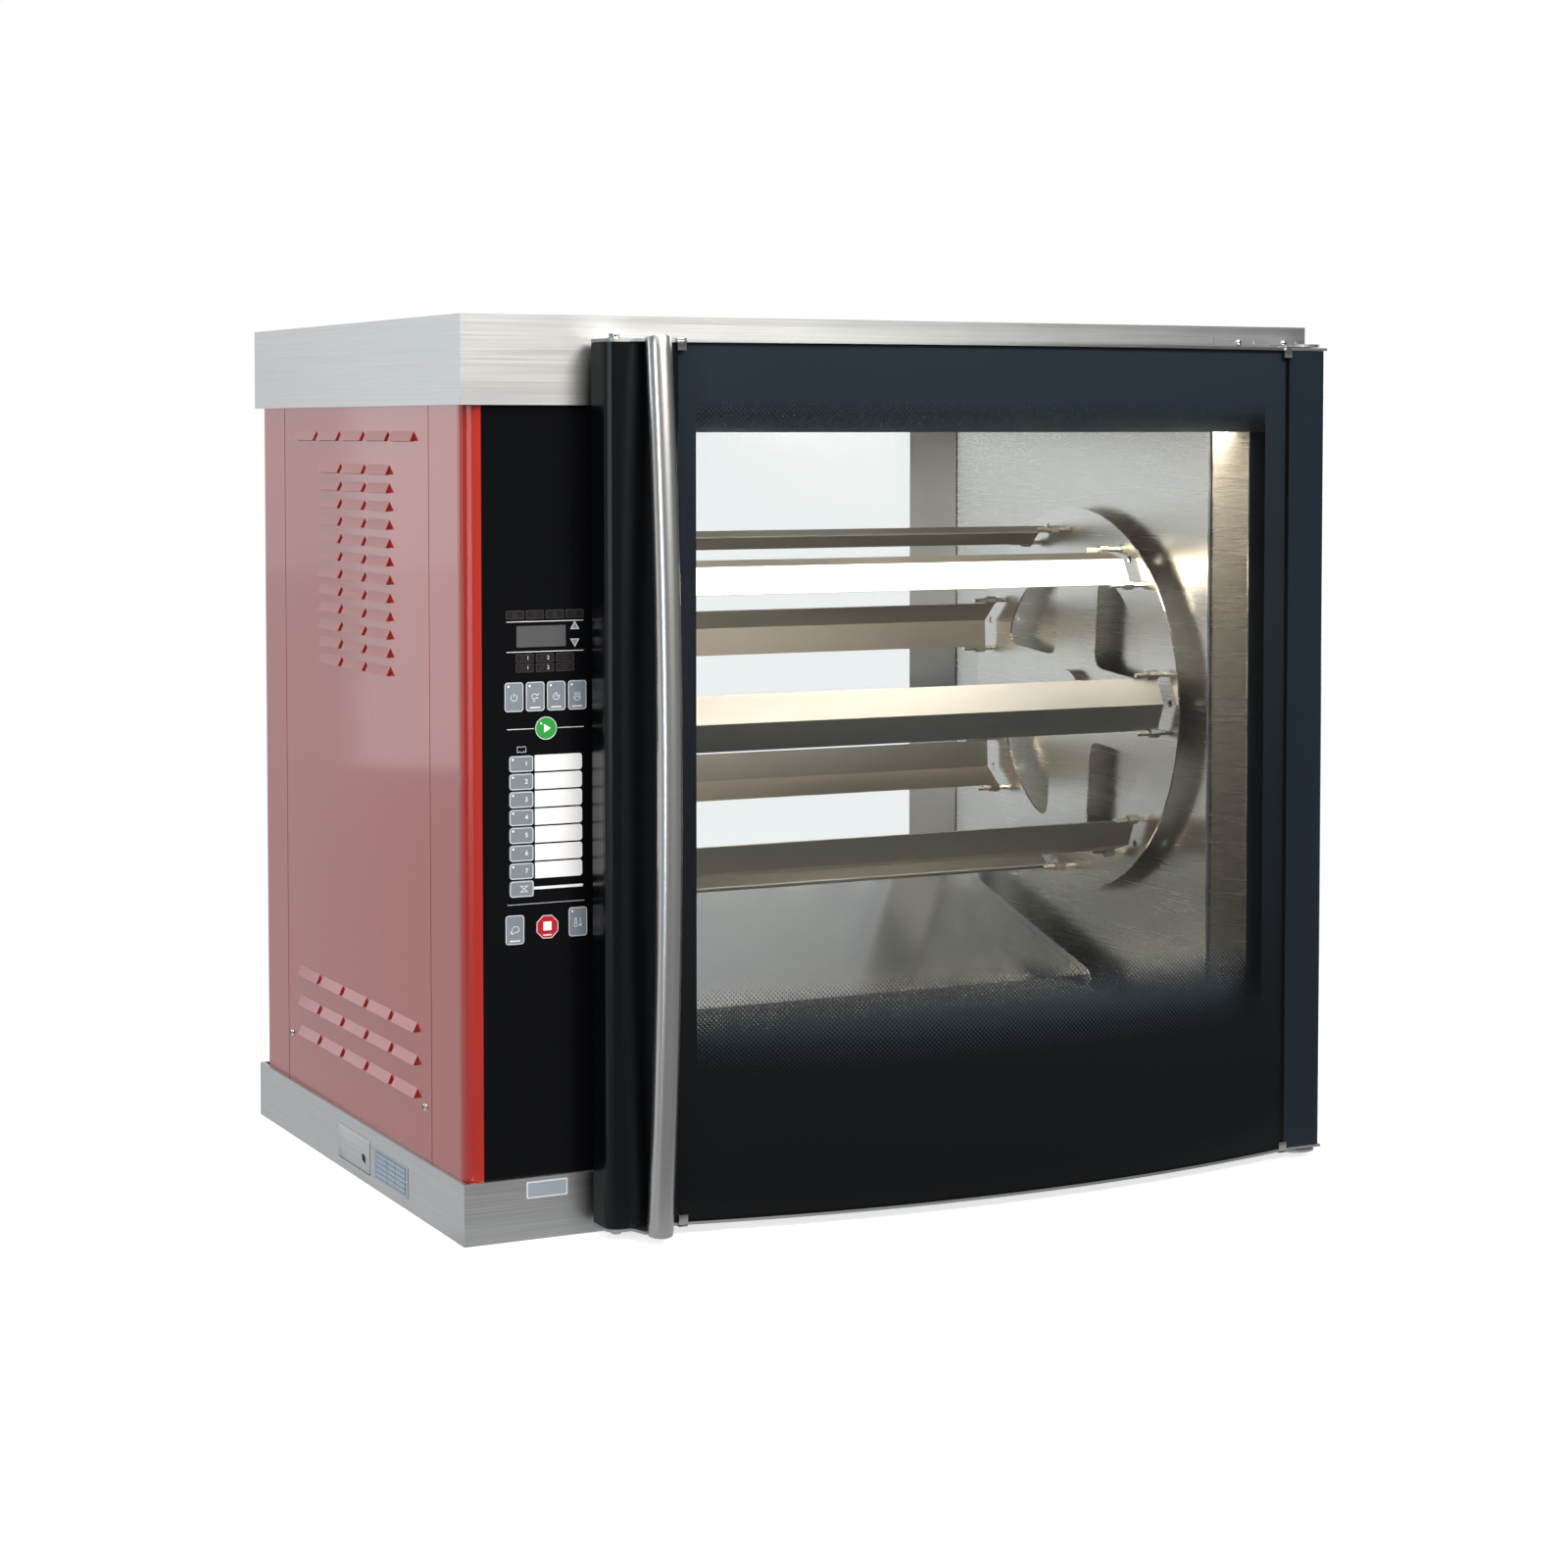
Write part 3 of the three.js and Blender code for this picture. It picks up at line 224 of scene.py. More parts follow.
# Zinc-plated and chromed screws: small bright metal with a slightly soft reflection.
chromePlate = moulded("chromePlate", "#e2e3e4", "#d6d7d9", 0.12, 2 * mm, metallic=1.0, peel=0.05)
# Aluminium label plate, printed: pale satin metal frame with a blue-grey ruled field.
labelMetal = moulded("labelMetal", "#c3cbd0", "#b4bcc2", 0.35, 1 * mm, metallic=1.0, peel=0.1)
labelField = moulded("labelField", "#a9bac6", "#9fb0bd", 0.45, 2 * mm, peel=0.05)
labelRule = moulded("labelRule", "#5d6a75", "#55626d", 0.5, 2 * mm, peel=0.05)
# Vinyl sticker, printed plain: pale grey-blue and satin.
stickerVinyl = moulded("stickerVinyl", "#9aa4ad", "#929ca5", 0.4, 3 * mm, peel=0.05)
# Silicone sealant bead and extruded silicone gasket: matt, slightly uneven grey and black rubber.
sealantGrey = moulded("siliconeSealant", "#565b60", "#4a4f54", 0.6, 2 * mm, peel=0.3)
gasketBlack = moulded("siliconeGasket", "#17181a", "#1d1e20", 0.65, 1.5 * mm, peel=0.3)
# Bead-blasted stainless liner of the rear opening: pale blue-grey and matt, so it is mostly diffuse.
linerSteel = moulded("linerSteel", "#b6bcc4", "#adb3bc", 0.4, 2 * mm, metallic=0.1, peel=0.1)
# Powder coat in the depth of a joint: the same red, nearly in shadow.
seamShadow = moulded("seamShadow", "#8f241b", "#85201a", 0.6, 2 * mm, peel=0.2, ior=1.2)
# Painted shade for the depth of a screw's cross or of a cut-out: black, without a highlight, standing in for
# the shadow in the hollow.
recessPaintedShade = moulded("recessPaintedShade", "#0a0a0a", "#0d0d0d", 0.7, 2 * mm, peel=0.2)


# Float glass, 5 mm, polished: clear with a thin mirror of the room that grows towards low angles.
def clearPane(tree, tint):
    through = addNode(tree, "BsdfTransparent", {"Color": linear(tint)})
    mirror = addNode(tree, "BsdfGlossy", {"Color": linear("#ffffff"), "Roughness": 0.02})
    fresnel = addNode(tree, "Fresnel", {"IOR": 1.3})
    return addNode(tree, "MixShader", {0: fresnel, 1: through, 2: mirror})


def clearGlass(name, tint):
    material, tree = newMaterial(name)
    return finished(material, clearPane(tree, tint))


# Ceramic frit, screen printed and fired on the inside of the glass: near black, with a lattice of dots where
# it fades into the window.
# Towards the top its ink is drawn lighter and bluer: a painted reflection of the studio's blue-grey glow. The
# window and its fades are given in the cabinet's metres.
frit = {
    "left": -0.270, "right": 0.411, "low": 0.155, "windowLow": 0.224, "windowHigh": 0.8085,
    "high": 0.8375, "dotPitch": 5.0 * mm, "rowPitch": 5.0 * mm, "ink": "#080a0d", "upperInkPaintedLight": "#2d3944",
}


def fritDots(tree, across, up, look):
    waves = []
    for axis, pitch in ((across, look["dotPitch"]), (up, look["rowPitch"])):
        turns = addNode(tree, "Math", {0: axis, 1: 2 * math.pi / pitch}, operation="MULTIPLY")
        waves.append(addNode(tree, "Math", {0: turns}, operation="COSINE"))
    lattice = addNode(tree, "Math", {0: waves[0], 1: waves[1]}, operation="MULTIPLY")
    return spread(tree, lattice, 0.0, 1.0, -1.0, 1.0)


def outside(tree, value, low, high):
    below = addNode(tree, "Math", {0: value, 1: low}, operation="LESS_THAN")
    above = addNode(tree, "Math", {0: value, 1: high}, operation="GREATER_THAN")
    return addNode(tree, "Math", {0: below, 1: above}, operation="MAXIMUM")


def printedGlass():
    material, tree = newMaterial("fritPrintedGlass")
    place = addNode(tree, "SeparateXYZ", {0: addNode(tree, "TexCoord").outputs["Object"]})
    across, up = place.outputs["X"], place.outputs["Z"]
    dots = fritDots(tree, across, up, frit)
    lower = spread(tree, up, 1.0, 0.0, frit["low"], frit["windowLow"])
    upper = spread(tree, up, 0.12, 1.0, frit["windowHigh"], frit["high"])
    cover = addNode(tree, "Math", {0: lower, 1: upper}, operation="MAXIMUM")
    inked = addNode(tree, "Math", {0: dots, 1: cover}, operation="LESS_THAN")
    atSides = outside(tree, across, frit["left"], frit["right"])
    above = addNode(tree, "Math", {0: up, 1: frit["windowLow"]}, operation="GREATER_THAN")
    below = addNode(tree, "Math", {0: up, 1: frit["windowHigh"]}, operation="LESS_THAN")
    inWindow = addNode(tree, "Math", {0: above, 1: below}, operation="MULTIPLY")
    offWindow = addNode(tree, "Math", {0: 1.0, 1: inWindow}, operation="SUBTRACT")
    shut = addNode(tree, "Math", {0: inked, 1: offWindow}, operation="MULTIPLY")
    mask = addNode(tree, "Math", {0: shut, 1: atSides}, operation="MAXIMUM")
    # The ink runs from near black low down to a lighter blue-grey at the top: painted reflection.
    ink = addNode(tree, "BsdfPrincipled", {
        "Base Color": between(tree, spread(tree, up, 0.0, 1.0, 0.0, 0.9), linear(frit["ink"]),
                              linear(frit["upperInkPaintedLight"])),
        "Roughness": spread(tree, blotches(tree, 2 * mm, 1.0), 0.25, 0.35), "IOR": 1.3,
    })
    clear = addNode(tree, "BsdfTransparent", {"Color": linear("#fdfefe")})
    return finished(material, addNode(tree, "MixShader", {0: mask, 1: clear, 2: ink}))


paneGlass = clearGlass("floatGlass", "#fefefe")
rearGlass = clearGlass("rearFloatGlass", "#fdfefe")
fritGlass = printedGlass()


# The inner pane's own frit: a band along the bottom that fades upwards in dots, and a right margin.
innerFrit = {
    "low": 0.186, "high": 0.240, "top": 0.804, "right": 0.4195, "dotPitch": 5 * mm, "rowPitch": 5 * mm,
    "ink": "#4a555f", "upperInkPaintedLight": "#8b97a1",
}


def innerGlass():
    material, tree = newMaterial("innerFritGlass")
    place = addNode(tree, "SeparateXYZ", {0: addNode(tree, "TexCoord").outputs["Object"]})
    across, up = place.outputs["X"], place.outputs["Z"]
    middle = sum(corner.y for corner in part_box("door_glass_inner")) / 2
    isBack = addNode(tree, "Math", {0: place.outputs["Y"], 1: middle}, operation="GREATER_THAN")
    dots = fritDots(tree, across, up, innerFrit)
    cover = spread(tree, up, 1.0, 0.0, innerFrit["low"], innerFrit["high"])
    inked = addNode(tree, "Math", {0: dots, 1: cover}, operation="LESS_THAN")
    margin = addNode(tree, "Math", {0: across, 1: innerFrit["right"]}, operation="GREATER_THAN")
    above = addNode(tree, "Math", {0: up, 1: innerFrit["top"]}, operation="GREATER_THAN")
    either = addNode(tree, "Math", {0: inked, 1: margin}, operation="MAXIMUM")
    either = addNode(tree, "Math", {0: either, 1: above}, operation="MAXIMUM")
    mask = addNode(tree, "Math", {0: either, 1: isBack}, operation="MULTIPLY")
    # The top band is drawn in a much lighter ink than the bottom band and margin: painted light standing in
    # for the light that the outer pane's ink keeps from it.
    ink = addNode(tree, "BsdfPrincipled", {
        "Base Color": between(tree, above, linear(innerFrit["ink"]), linear(innerFrit["upperInkPaintedLight"])),
        "Roughness": spread(tree, blotches(tree, 2 * mm, 1.0), 0.35, 0.45),
    })
    return finished(material, addNode(tree, "MixShader", {0: mask, 1: clearPane(tree, "#fdfefe"), 2: ink}))


innerFritGlass = innerGlass()


# Halogen lamp behind a ribbed glass lens: it glows warm white.
def lampGlow():
    material, tree = newMaterial("halogenLens")
    ribs = grainLines(tree, 1, 3 * mm, 40)
    strength = spread(tree, ribs, 3.0, 6.0)
    return finished(material, addNode(tree, "Emission", {"Color": linear("#ffd9a0"), "Strength": strength}))


halogenLens = lampGlow()


# Rounds the shading of gentle edges and leaves folds sharp, on CAD nodes and new pieces alike.
def smoothingGroup(limit):
    group = bpy.data.node_groups.new("smoothByAngle", "GeometryNodeTree")
    for name, way in (("In", "INPUT"), ("Out", "OUTPUT")):
        group.interface.new_socket(name=name, in_out=way, socket_type="NodeSocketGeometry")
    start, end = group.nodes.new("NodeGroupInput"), group.nodes.new("NodeGroupOutput")
    faces, edges = (group.nodes.new("GeometryNodeSetShadeSmooth") for _ in range(2))
    angle = group.nodes.new("GeometryNodeInputMeshEdgeAngle")
    gentle = group.nodes.new("FunctionNodeCompare")
    gentle.operation = "LESS_EQUAL"
    gentle.inputs[1].default_value = math.radians(limit)
    edges.domain = "EDGE"
    group.links.new(start.outputs[0], faces.inputs["Geometry"])
    group.links.new(faces.outputs[0], edges.inputs["Geometry"])
    group.links.new(angle.outputs[0], gentle.inputs[0])
    group.links.new(gentle.outputs[0], edges.inputs["Shade Smooth"])
    group.links.new(edges.outputs[0], end.inputs[0])
    return group


gentleEdges = smoothingGroup(38)


def smoothed(obj, bevel=0.0):
    if bevel:
        rounding = obj.modifiers.new("edges", "BEVEL")
        rounding.width, rounding.segments = bevel, 2
        rounding.limit_method, rounding.angle_limit = "ANGLE", math.radians(40)
        rounding.use_clamp_overlap = True
    smoothing = obj.modifiers.new("smooth", "NODES")
    smoothing.node_group = gentleEdges


print("cad nodes")
finishes = {
    "base_pan": (brushedStainless, 0.7), "top_cover": (brushedStainless, 0.7),
    "left_front_corner": (redPowderCoat, 0), "louvred_side_panel": (redPowderCoat, 0),
    "right_side_panel": (redPowderCoat, 0), "rear_frame": (redPowderCoat, 0),
    "front_frame": (cavityStainless, 0), "control_panel": (overlayFilm, 0),
    "cavity_floor": (cavityStainless, 0), "cavity_roof": (cavityStainless, 0),
    "cavity_left_wall": (cavityStainless, 0), "cavity_right_wall": (cavityStainless, 0),
    "drip_pan": (panStainless, 0.4), "gear_motor": (motorPaint, 1.0), "control_board": (boardGreen, 0.3),
    "fan_housing": (fanSteel, 0.4), "fan_rotor": (fanSteel, 0), "heating_element": (elementSheath, 0),
    "drive_bearing": (sinteredBronze, 0.5), "idler_bearing": (sinteredBronze, 0.5),
    "rotor_shaft": (cavityStainless, 0), "drive_disc": (discStainless, 0.3),
    "idler_disc": (discStainless, 0.3),
    "door_glass_inner": (innerFritGlass, 0), "door_handle_stile": (blackAnodised, 0.6),
    "door_hinge_stile": (hingeAnodisedReflection, 0.6), "door_top_plate": (brushedStainless, 0.3),
    "door_bottom_plate": (brushedStainless, 0.3), "hinge_bracket_top": (brushedStainless, 0.4),
    "hinge_bracket_bottom": (brushedStainless, 0.4), "rear_door_frame": (blackAnodised, 1.2),
    "rear_door_glass": (rearGlass, 0), "rear_door_handle": (tubeStainless, 0),
    "key_start": (greenKeyInk, 0.25), "key_stop": (redKeyInk, 0.25),
}
for name, obj in nodes.items():
    fallback = spitStainlessShaded if name.startswith("spit_") else greyKeyInk
    material, bevel = finishes.get(name, (fallback, 0.25 if name.startswith("key_") else 0))
    obj.data.materials.clear()
    obj.data.materials.append(material)
    smoothed(obj, bevel * mm)


# Each of these returns (points, faces), in metres in the cabinet's frame.


def slab(outline, axis, low, high):
    order = {"x": (2, 0, 1), "y": (0, 2, 1), "z": (0, 1, 2)}[axis]
    points = [[(u, v, w)[i] for i in order] for w in (low, high) for u, v in outline]
    count = len(outline)
    sides = [(i, (i + 1) % count, count + (i + 1) % count, count + i) for i in range(count)]
    return points, [tuple(range(count)), tuple(range(count, 2 * count)), *sides]


def turned(profile, centre, axis, sides=32):
    across = {"x": (1, 2), "y": (0, 2), "z": (0, 1)}[axis]
    lengthways = "xyz".index(axis)
    points, rings = [], []
    for radius, height in profile:
        ring = []
        for k in range(sides if radius > 0 else 1):
            angle = 2 * math.pi * k / sides
            point = list(centre)
            point[across[0]] += radius * math.cos(angle)
            point[across[1]] += radius * math.sin(angle)
            point[lengthways] += height
            ring.append(len(points))
            points.append(point)
        rings.append(ring)
    faces = []
    for one, two in zip(rings, rings[1:]):
        for k in range(sides):
            quad = [one[k % len(one)], one[(k + 1) % len(one)], two[(k + 1) % len(two)], two[k % len(two)]]
            face = list(dict.fromkeys(quad))
            if len(face) > 2:
                faces.append(tuple(face))
    for ring in (rings[0], rings[-1]):
        if len(ring) > 1:
            faces.append(tuple(ring))
    return points, faces


def swept(path, radius, sides=16, side=Vector((1, 0, 0))):
    path = [Vector(p) for p in path]
    points, faces = [], []
    for i, here in enumerate(path):
        ahead = (path[min(i + 1, len(path) - 1)] - path[max(i - 1, 0)]).normalized()
        first = ahead.cross(side).normalized()
        second = ahead.cross(first)
        for k in range(sides):
            angle = 2 * math.pi * k / sides
            points.append(here + radius * (first * math.cos(angle) + second * math.sin(angle)))
    for i in range(len(path) - 1):
        for k in range(sides):
            a, b = i * sides + k, i * sides + (k + 1) % sides
            faces.append((a, b, b + sides, a + sides))
    last = (len(path) - 1) * sides
    return points, [*faces, tuple(range(sides)), tuple(range(last, last + sides))]


def arcPoints(centre, radius, start, end, steps):
    angles = [math.radians(start + (end - start) * i / steps) for i in range(steps + 1)]
    return [(centre[0] + radius * math.cos(a), centre[1] + radius * math.sin(a)) for a in angles]


def rounded(u0, u1, v0, v1, radii, steps=5):
    corners = ((u0, v0, 180), (u1, v0, 270), (u1, v1, 0), (u0, v1, 90))
    outline = []
    for (u, v, start), radius in zip(corners, radii):
        if radius:
            centre = (u + radius * (1 if u == u0 else -1), v + radius * (1 if v == v0 else -1))
            outline += arcPoints(centre, radius, start, start + 90, steps)
        else:
            outline.append((u, v))
    return outline


# A line of even width drawn with mitred corners, as one flat quad for each straight run.
def stroke(line, width, closed=False):
    line = [Vector(p) for p in line]
    count = len(line)
    edges = []
    for i, here in enumerate(line):
        before = line[i - 1] if closed or i else None
        after = line[(i + 1) % count] if closed or i < count - 1 else None
        along = [(here - before).normalized()] if before is not None else []
        along += [(after - here).normalized()] if after is not None else []
        mean = sum(along, Vector((0, 0))).normalized()
        across = Vector((-mean.y, mean.x))
        reach = width / 2 / max(0.5, abs(across.dot(Vector((-along[0].y, along[0].x)))))
        edges.append((here + across * reach, here - across * reach))
    pairs = zip(edges, edges[1:] + edges[:1]) if closed else zip(edges, edges[1:])
    return [[a[0], a[1], b[1], b[0]] for a, b in pairs]


# A plain rectangle, as an outline.
def rectangle(u0, u1, v0, v1):
    return [(u0, v0), (u1, v0), (u1, v1), (u0, v1)]


# Puts a finished mesh in the scene as a piece that rides on a body.
def riding(mesh, body, materials, replaces=(), bevel=0.0):
    for material in materials:
        mesh.materials.append(material)
    obj = bpy.data.objects.new(mesh.name, mesh)
    bpy.context.scene.collection.objects.link(obj)
    smoothed(obj, bevel)
    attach(obj, body)
    if replaces:
        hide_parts(*replaces)


# A part is (points, faces), or (points, faces, material index).
def piece(name, body, parts, materials, replaces=(), bevel=0.0):
    mesh = bpy.data.meshes.new(name)
    work = bmesh.new()
    for part in parts:
        points, faces = part[0], part[1]
        corners = [work.verts.new(p) for p in points]
        for face in faces:
            made = work.faces.new([corners[i] for i in face])
            made.material_index = part[2] if len(part) > 2 else 0
    bmesh.ops.recalc_face_normals(work, faces=work.faces)
    work.to_mesh(mesh)
    work.free()
    riding(mesh, body, materials if isinstance(materials, list) else [materials], replaces, bevel)


print("door glass and handle")
glass = {"steps": 96, "sheet": 5 * mm, "bow": 43 * mm}


def bowedGlass():
    low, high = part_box("door_glass_outer")
    chord, middle = high.x - low.x, (high.x + low.x) / 2
    radius = (chord**2 / 4 + glass["bow"] ** 2) / (2 * glass["bow"])
    centreY = low.y + radius
    half = math.asin(chord / 2 / radius)
    points, faces = [], []
    for depthIn in (0.0, glass["sheet"]):
        for z in (low.z, high.z):
            for i in range(glass["steps"] + 1):
                angle = -half + 2 * half * i / glass["steps"]
                reach = radius - depthIn
                points.append((middle + reach * math.sin(angle), centreY - reach * math.cos(angle), z))
    row = glass["steps"] + 1
    frontFaces = [(i, i + 1, row + i + 1, row + i) for i in range(glass["steps"])]
    backFaces = [(2 * row + i, 3 * row + i, 3 * row + i + 1, 2 * row + i + 1) for i in range(glass["steps"])]
    edgeFaces = [(i, 2 * row + i, 2 * row + i + 1, i + 1) for i in range(glass["steps"])]
    edgeFaces += [(row + i, row + i + 1, 3 * row + i + 1, 3 * row + i) for i in range(glass["steps"])]
    edgeFaces += [(0, row, 3 * row, 2 * row), (row - 1, 3 * row - 1, 4 * row - 1, 2 * row - 1)]
    mesh = bpy.data.meshes.new("bowed_door_glass")
    mesh.from_pydata(points, [], frontFaces + backFaces + edgeFaces)
    for i, polygon in enumerate(mesh.polygons):
        polygon.material_index = 0 if i < len(frontFaces) else (1 if i < 2 * len(frontFaces) else 2)
    work = bmesh.new()
    work.from_mesh(mesh)
    bmesh.ops.recalc_face_normals(work, faces=work.faces)
    work.to_mesh(mesh)
    work.free()
    riding(mesh, "front_door", [paneGlass, fritGlass, blackAnodised], ["door_glass_outer"])


bowedGlass()

handle = {
    "radius": 13 * mm, "rise": 24.5 * mm, "endGap": 0.3 * mm, "edge": 0.8 * mm, "steps": 72, "sides": 48,
}


def bowedHandle():
    low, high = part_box("door_handle")
    x = (low.x + high.x) / 2
    endY, middle = high.y - handle["radius"], (low.z + high.z) / 2
    half = (high.z - low.z) / 2 - handle["endGap"]
    radius = (half**2 + handle["rise"] ** 2) / (2 * handle["rise"])
    reach = math.asin(half / radius)
    path = []
    for i in range(handle["steps"] + 1):
        angle = -reach + 2 * reach * i / handle["steps"]
        y = endY - handle["rise"] + radius - radius * math.cos(angle)
        path.append((x, y, middle + radius * math.sin(angle)))
    tube = swept(path, handle["radius"], handle["sides"])
    piece("door_handle_tube", "front_door", [tube], tubeStainless, ["door_handle"],
          handle["edge"])


bowedHandle()

print("cabinet details")
skinX, bandX, bandY = -0.495, -0.5, -0.34  # faces of the side skin and of the base's left and front
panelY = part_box("control_panel")[0].y


# Pan-head cross-recess screw; outward is the side of the axis its head faces.
def screwParts(centre, axis, outward, radius=4.2 * mm):
    dome = ((1, 0), (1, 0.25), (0.86, 0.48), (0.5, 0.62), (0, 0.66))
    head = turned([(r * radius, h * radius * outward) for r, h in dome], centre, axis, 24)
    reach, thin = radius * 0.52, radius * 0.13
    top = 0.655 * radius * outward
    u, v = {"x": (centre[1], centre[2]), "y": (centre[0], centre[2]), "z": (centre[0], centre[1])}[axis]
    base = centre["xyz".index(axis)]
    ends = sorted((base + top * 0.8, base + top * 1.04))
    # The cross is drawn as two black slabs just proud of the dome: painted shade for the depth of the recess.
    recess = [slab(rectangle(u - a, u + a, v - b, v + b), axis, *ends)
              for a, b in ((reach, thin), (thin, reach))]
    return [head] + [(*part, 1) for part in recess]


def screws(name, body, places, axis, outward, radius=4.2 * mm):
    parts = [part for place in places for part in screwParts(place, axis, outward, radius)]
    piece(name, body, parts, [chromePlate, recessPaintedShade])


skinScrews = {
    "side": [(skinX, y, 0.116) for y in (-0.217, 0.227)],
    "right": [(-skinX, 0.226, z) for z in (0.116, 0.45, 0.79)],
    "rear": [(-0.44, 0.335, z) for z in (0.12, 0.45, 0.78)],
}
screws("side_panel_screws", "cabinet", skinScrews["side"], "x", -1)
seam = {"width": 1.1 * mm, "proud": 0.12 * mm, "sunk": 0.3 * mm}


# The dark joints where the removable side panel meets the skins in front of it and behind it.
def sideSeams():
    low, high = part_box("louvred_side_panel")
    half, outer, inner = seam["width"] / 2, skinX - seam["proud"], skinX + seam["sunk"]
    strips = [slab(rectangle(y - half, y + half, low.z, high.z), "x", outer, inner) for y in (low.y, high.y)]
    piece("side_panel_seams", "cabinet", strips, seamShadow)


sideSeams()
screws("right_seam_screws", "cabinet", skinScrews["right"], "x", 1)
screws("rear_skin_screws", "cabinet", skinScrews["rear"], "y", 1)
hingeScrews = {"places": [(x, -0.3424, 0.902) for x in (0.410, 0.470)], "radius": 3.4 * mm}
screws("top_hinge_screws", "cabinet", hingeScrews["places"], "y", -1, hingeScrews["radius"])

# Each plate is given as its low and high y, then its low and high z; the label as x, then z.
plates = {
    "proud": 0.7 * mm, "hatch": (-0.056, 0.048, 0.012, 0.048), "rating": (-0.176, -0.069, 0.012, 0.045),
    "ratingFrame": 3.2 * mm, "ratingRule": 0.7 * mm, "ratingRows": 5, "ratingColumns": (0, 0.34, 0.62, 1),
    "label": (-0.434, -0.390, 0.0415, 0.0585), "labelEdge": 1.5 * mm,
}


def hatchPlate():
    y0, y1, z0, z1 = plates["hatch"]
    out = plates["proud"]
    cover = slab(rounded(y0, y1, z0, z1, [1.5 * mm] * 4), "x", bandX - out, bandX)
    corners = ((14, 9), (24, 11), (26, 17), (19, 19), (13, 15))  # the finger hole, in mm
    # The finger hole and the gap under the cover's lower edge are drawn as black slabs: painted shade
    # standing in for the shadow in them.
    hole = slab([(y0 + u * mm, z0 + v * mm) for u, v in corners], "x", bandX - out * 1.2, bandX - out * 0.5)
    gap = slab(rectangle(y0, y1, z0 - 1.2 * mm, z0), "x", bandX - out * 0.4, bandX)
    piece("base_hatch_plate", "cabinet", [cover, (*hole, 1), (*gap, 1)], [brushedStainless, recessPaintedShade],
          bevel=0.15 * mm)


def ratingPlate():
    y0, y1, z0, z1 = plates["rating"]
    out, edge = plates["proud"], plates["ratingFrame"]
    backing = slab(rounded(y0, y1, z0, z1, [1 * mm] * 4), "x", bandX - out * 0.7, bandX)
    left, right, low, high = y0 + edge * 2.4, y1 - edge * 2.4, z0 + edge, z1 - edge
    field = slab(rectangle(left, right, low, high), "x", bandX - out * 0.9, bandX - out * 0.6)
    rows = plates["ratingRows"]
    heights = [low + (high - low) * k / rows for k in range(rows + 1)]
    columns = [left + (right - left) * k for k in plates["ratingColumns"]]
    lines = [[(left, z), (right, z)] for z in heights] + [[(y, low), (y, high)] for y in columns]
    rules = [(*slab(quad, "x", bandX - out, bandX - out * 0.8), 2)
             for line in lines for quad in stroke(line, plates["ratingRule"])]
    head = [(1.6 * mm, 0), (1.4 * mm, -0.7 * mm), (0, -1 * mm)]
    rivets = [(*turned(head, (bandX - out * 0.6, y, (z0 + z1) / 2), "x", 16), 0)
              for y in (y0 + 3.6 * mm, y1 - 3.6 * mm)]
    piece("rating_plate", "cabinet", [backing, (*field, 1), *rules, *rivets],
          [labelMetal, labelField, labelRule])


def frontLabel():
    x0, x1, z0, z1 = plates["label"]
    edge = plates["labelEdge"]
    label = slab(rounded(x0, x1, z0, z1, [1 * mm] * 4), "y", bandY - 0.15 * mm, bandY)
    inner = slab(rounded(x0 + edge, x1 - edge, z0 + edge, z1 - edge, [0.6 * mm] * 4), "y",
                 bandY - 0.22 * mm, bandY - 0.1 * mm)
    piece("blank_front_label", "cabinet", [label, (*inner, 1)], [paleInk, stickerVinyl])


hatchPlate()
ratingPlate()
frontLabel()


def funnelLiner(near, nearY, far, farY, thickness):
    points = []
    for inset in (0.0, thickness):
        for (x0, x1, z0, z1), y in ((near, nearY), (far, farY)):
            points += [(x0 + inset, y, z0 + inset), (x1 - inset, y, z0 + inset),
                       (x1 - inset, y, z1 - inset), (x0 + inset, y, z1 - inset)]
    faces = []
    for k in range(4):
        n = (k + 1) % 4
        faces += [(k, n, 4 + n, 4 + k), (8 + k, 12 + k, 12 + n, 8 + n)]
        faces += [(k, 8 + k, 8 + n, n), (4 + k, 4 + n, 12 + n, 12 + k)]
    return points, faces


liner = {
    "mouth": (-0.2942, 0.4042, 0.0958, 0.8372), "mouthY": 0.2772,
    "opening": (-0.2592, 0.3692, 0.1078, 0.8192), "openingY": 0.3348, "sheet": 0.8 * mm,
}
funnel = funnelLiner(liner["mouth"], liner["mouthY"], liner["opening"], liner["openingY"], liner["sheet"])
piece("rear_opening_liner", "cabinet", [funnel], linerSteel)


# Silicone bulb gasket round an opening, where the door closes on it. Each is given as its low and
# high x, low and high z, its y and the radius of its corners.
gaskets = {
    "front_gasket": (-0.3262, 0.4362, 0.0738, 0.8442, -0.3397, 14 * mm),
    "rear_gasket": (-0.2685, 0.3785, 0.0985, 0.8285, 0.3397, 12 * mm),
}
bulb = {"radius": 4.6 * mm, "sides": 12}


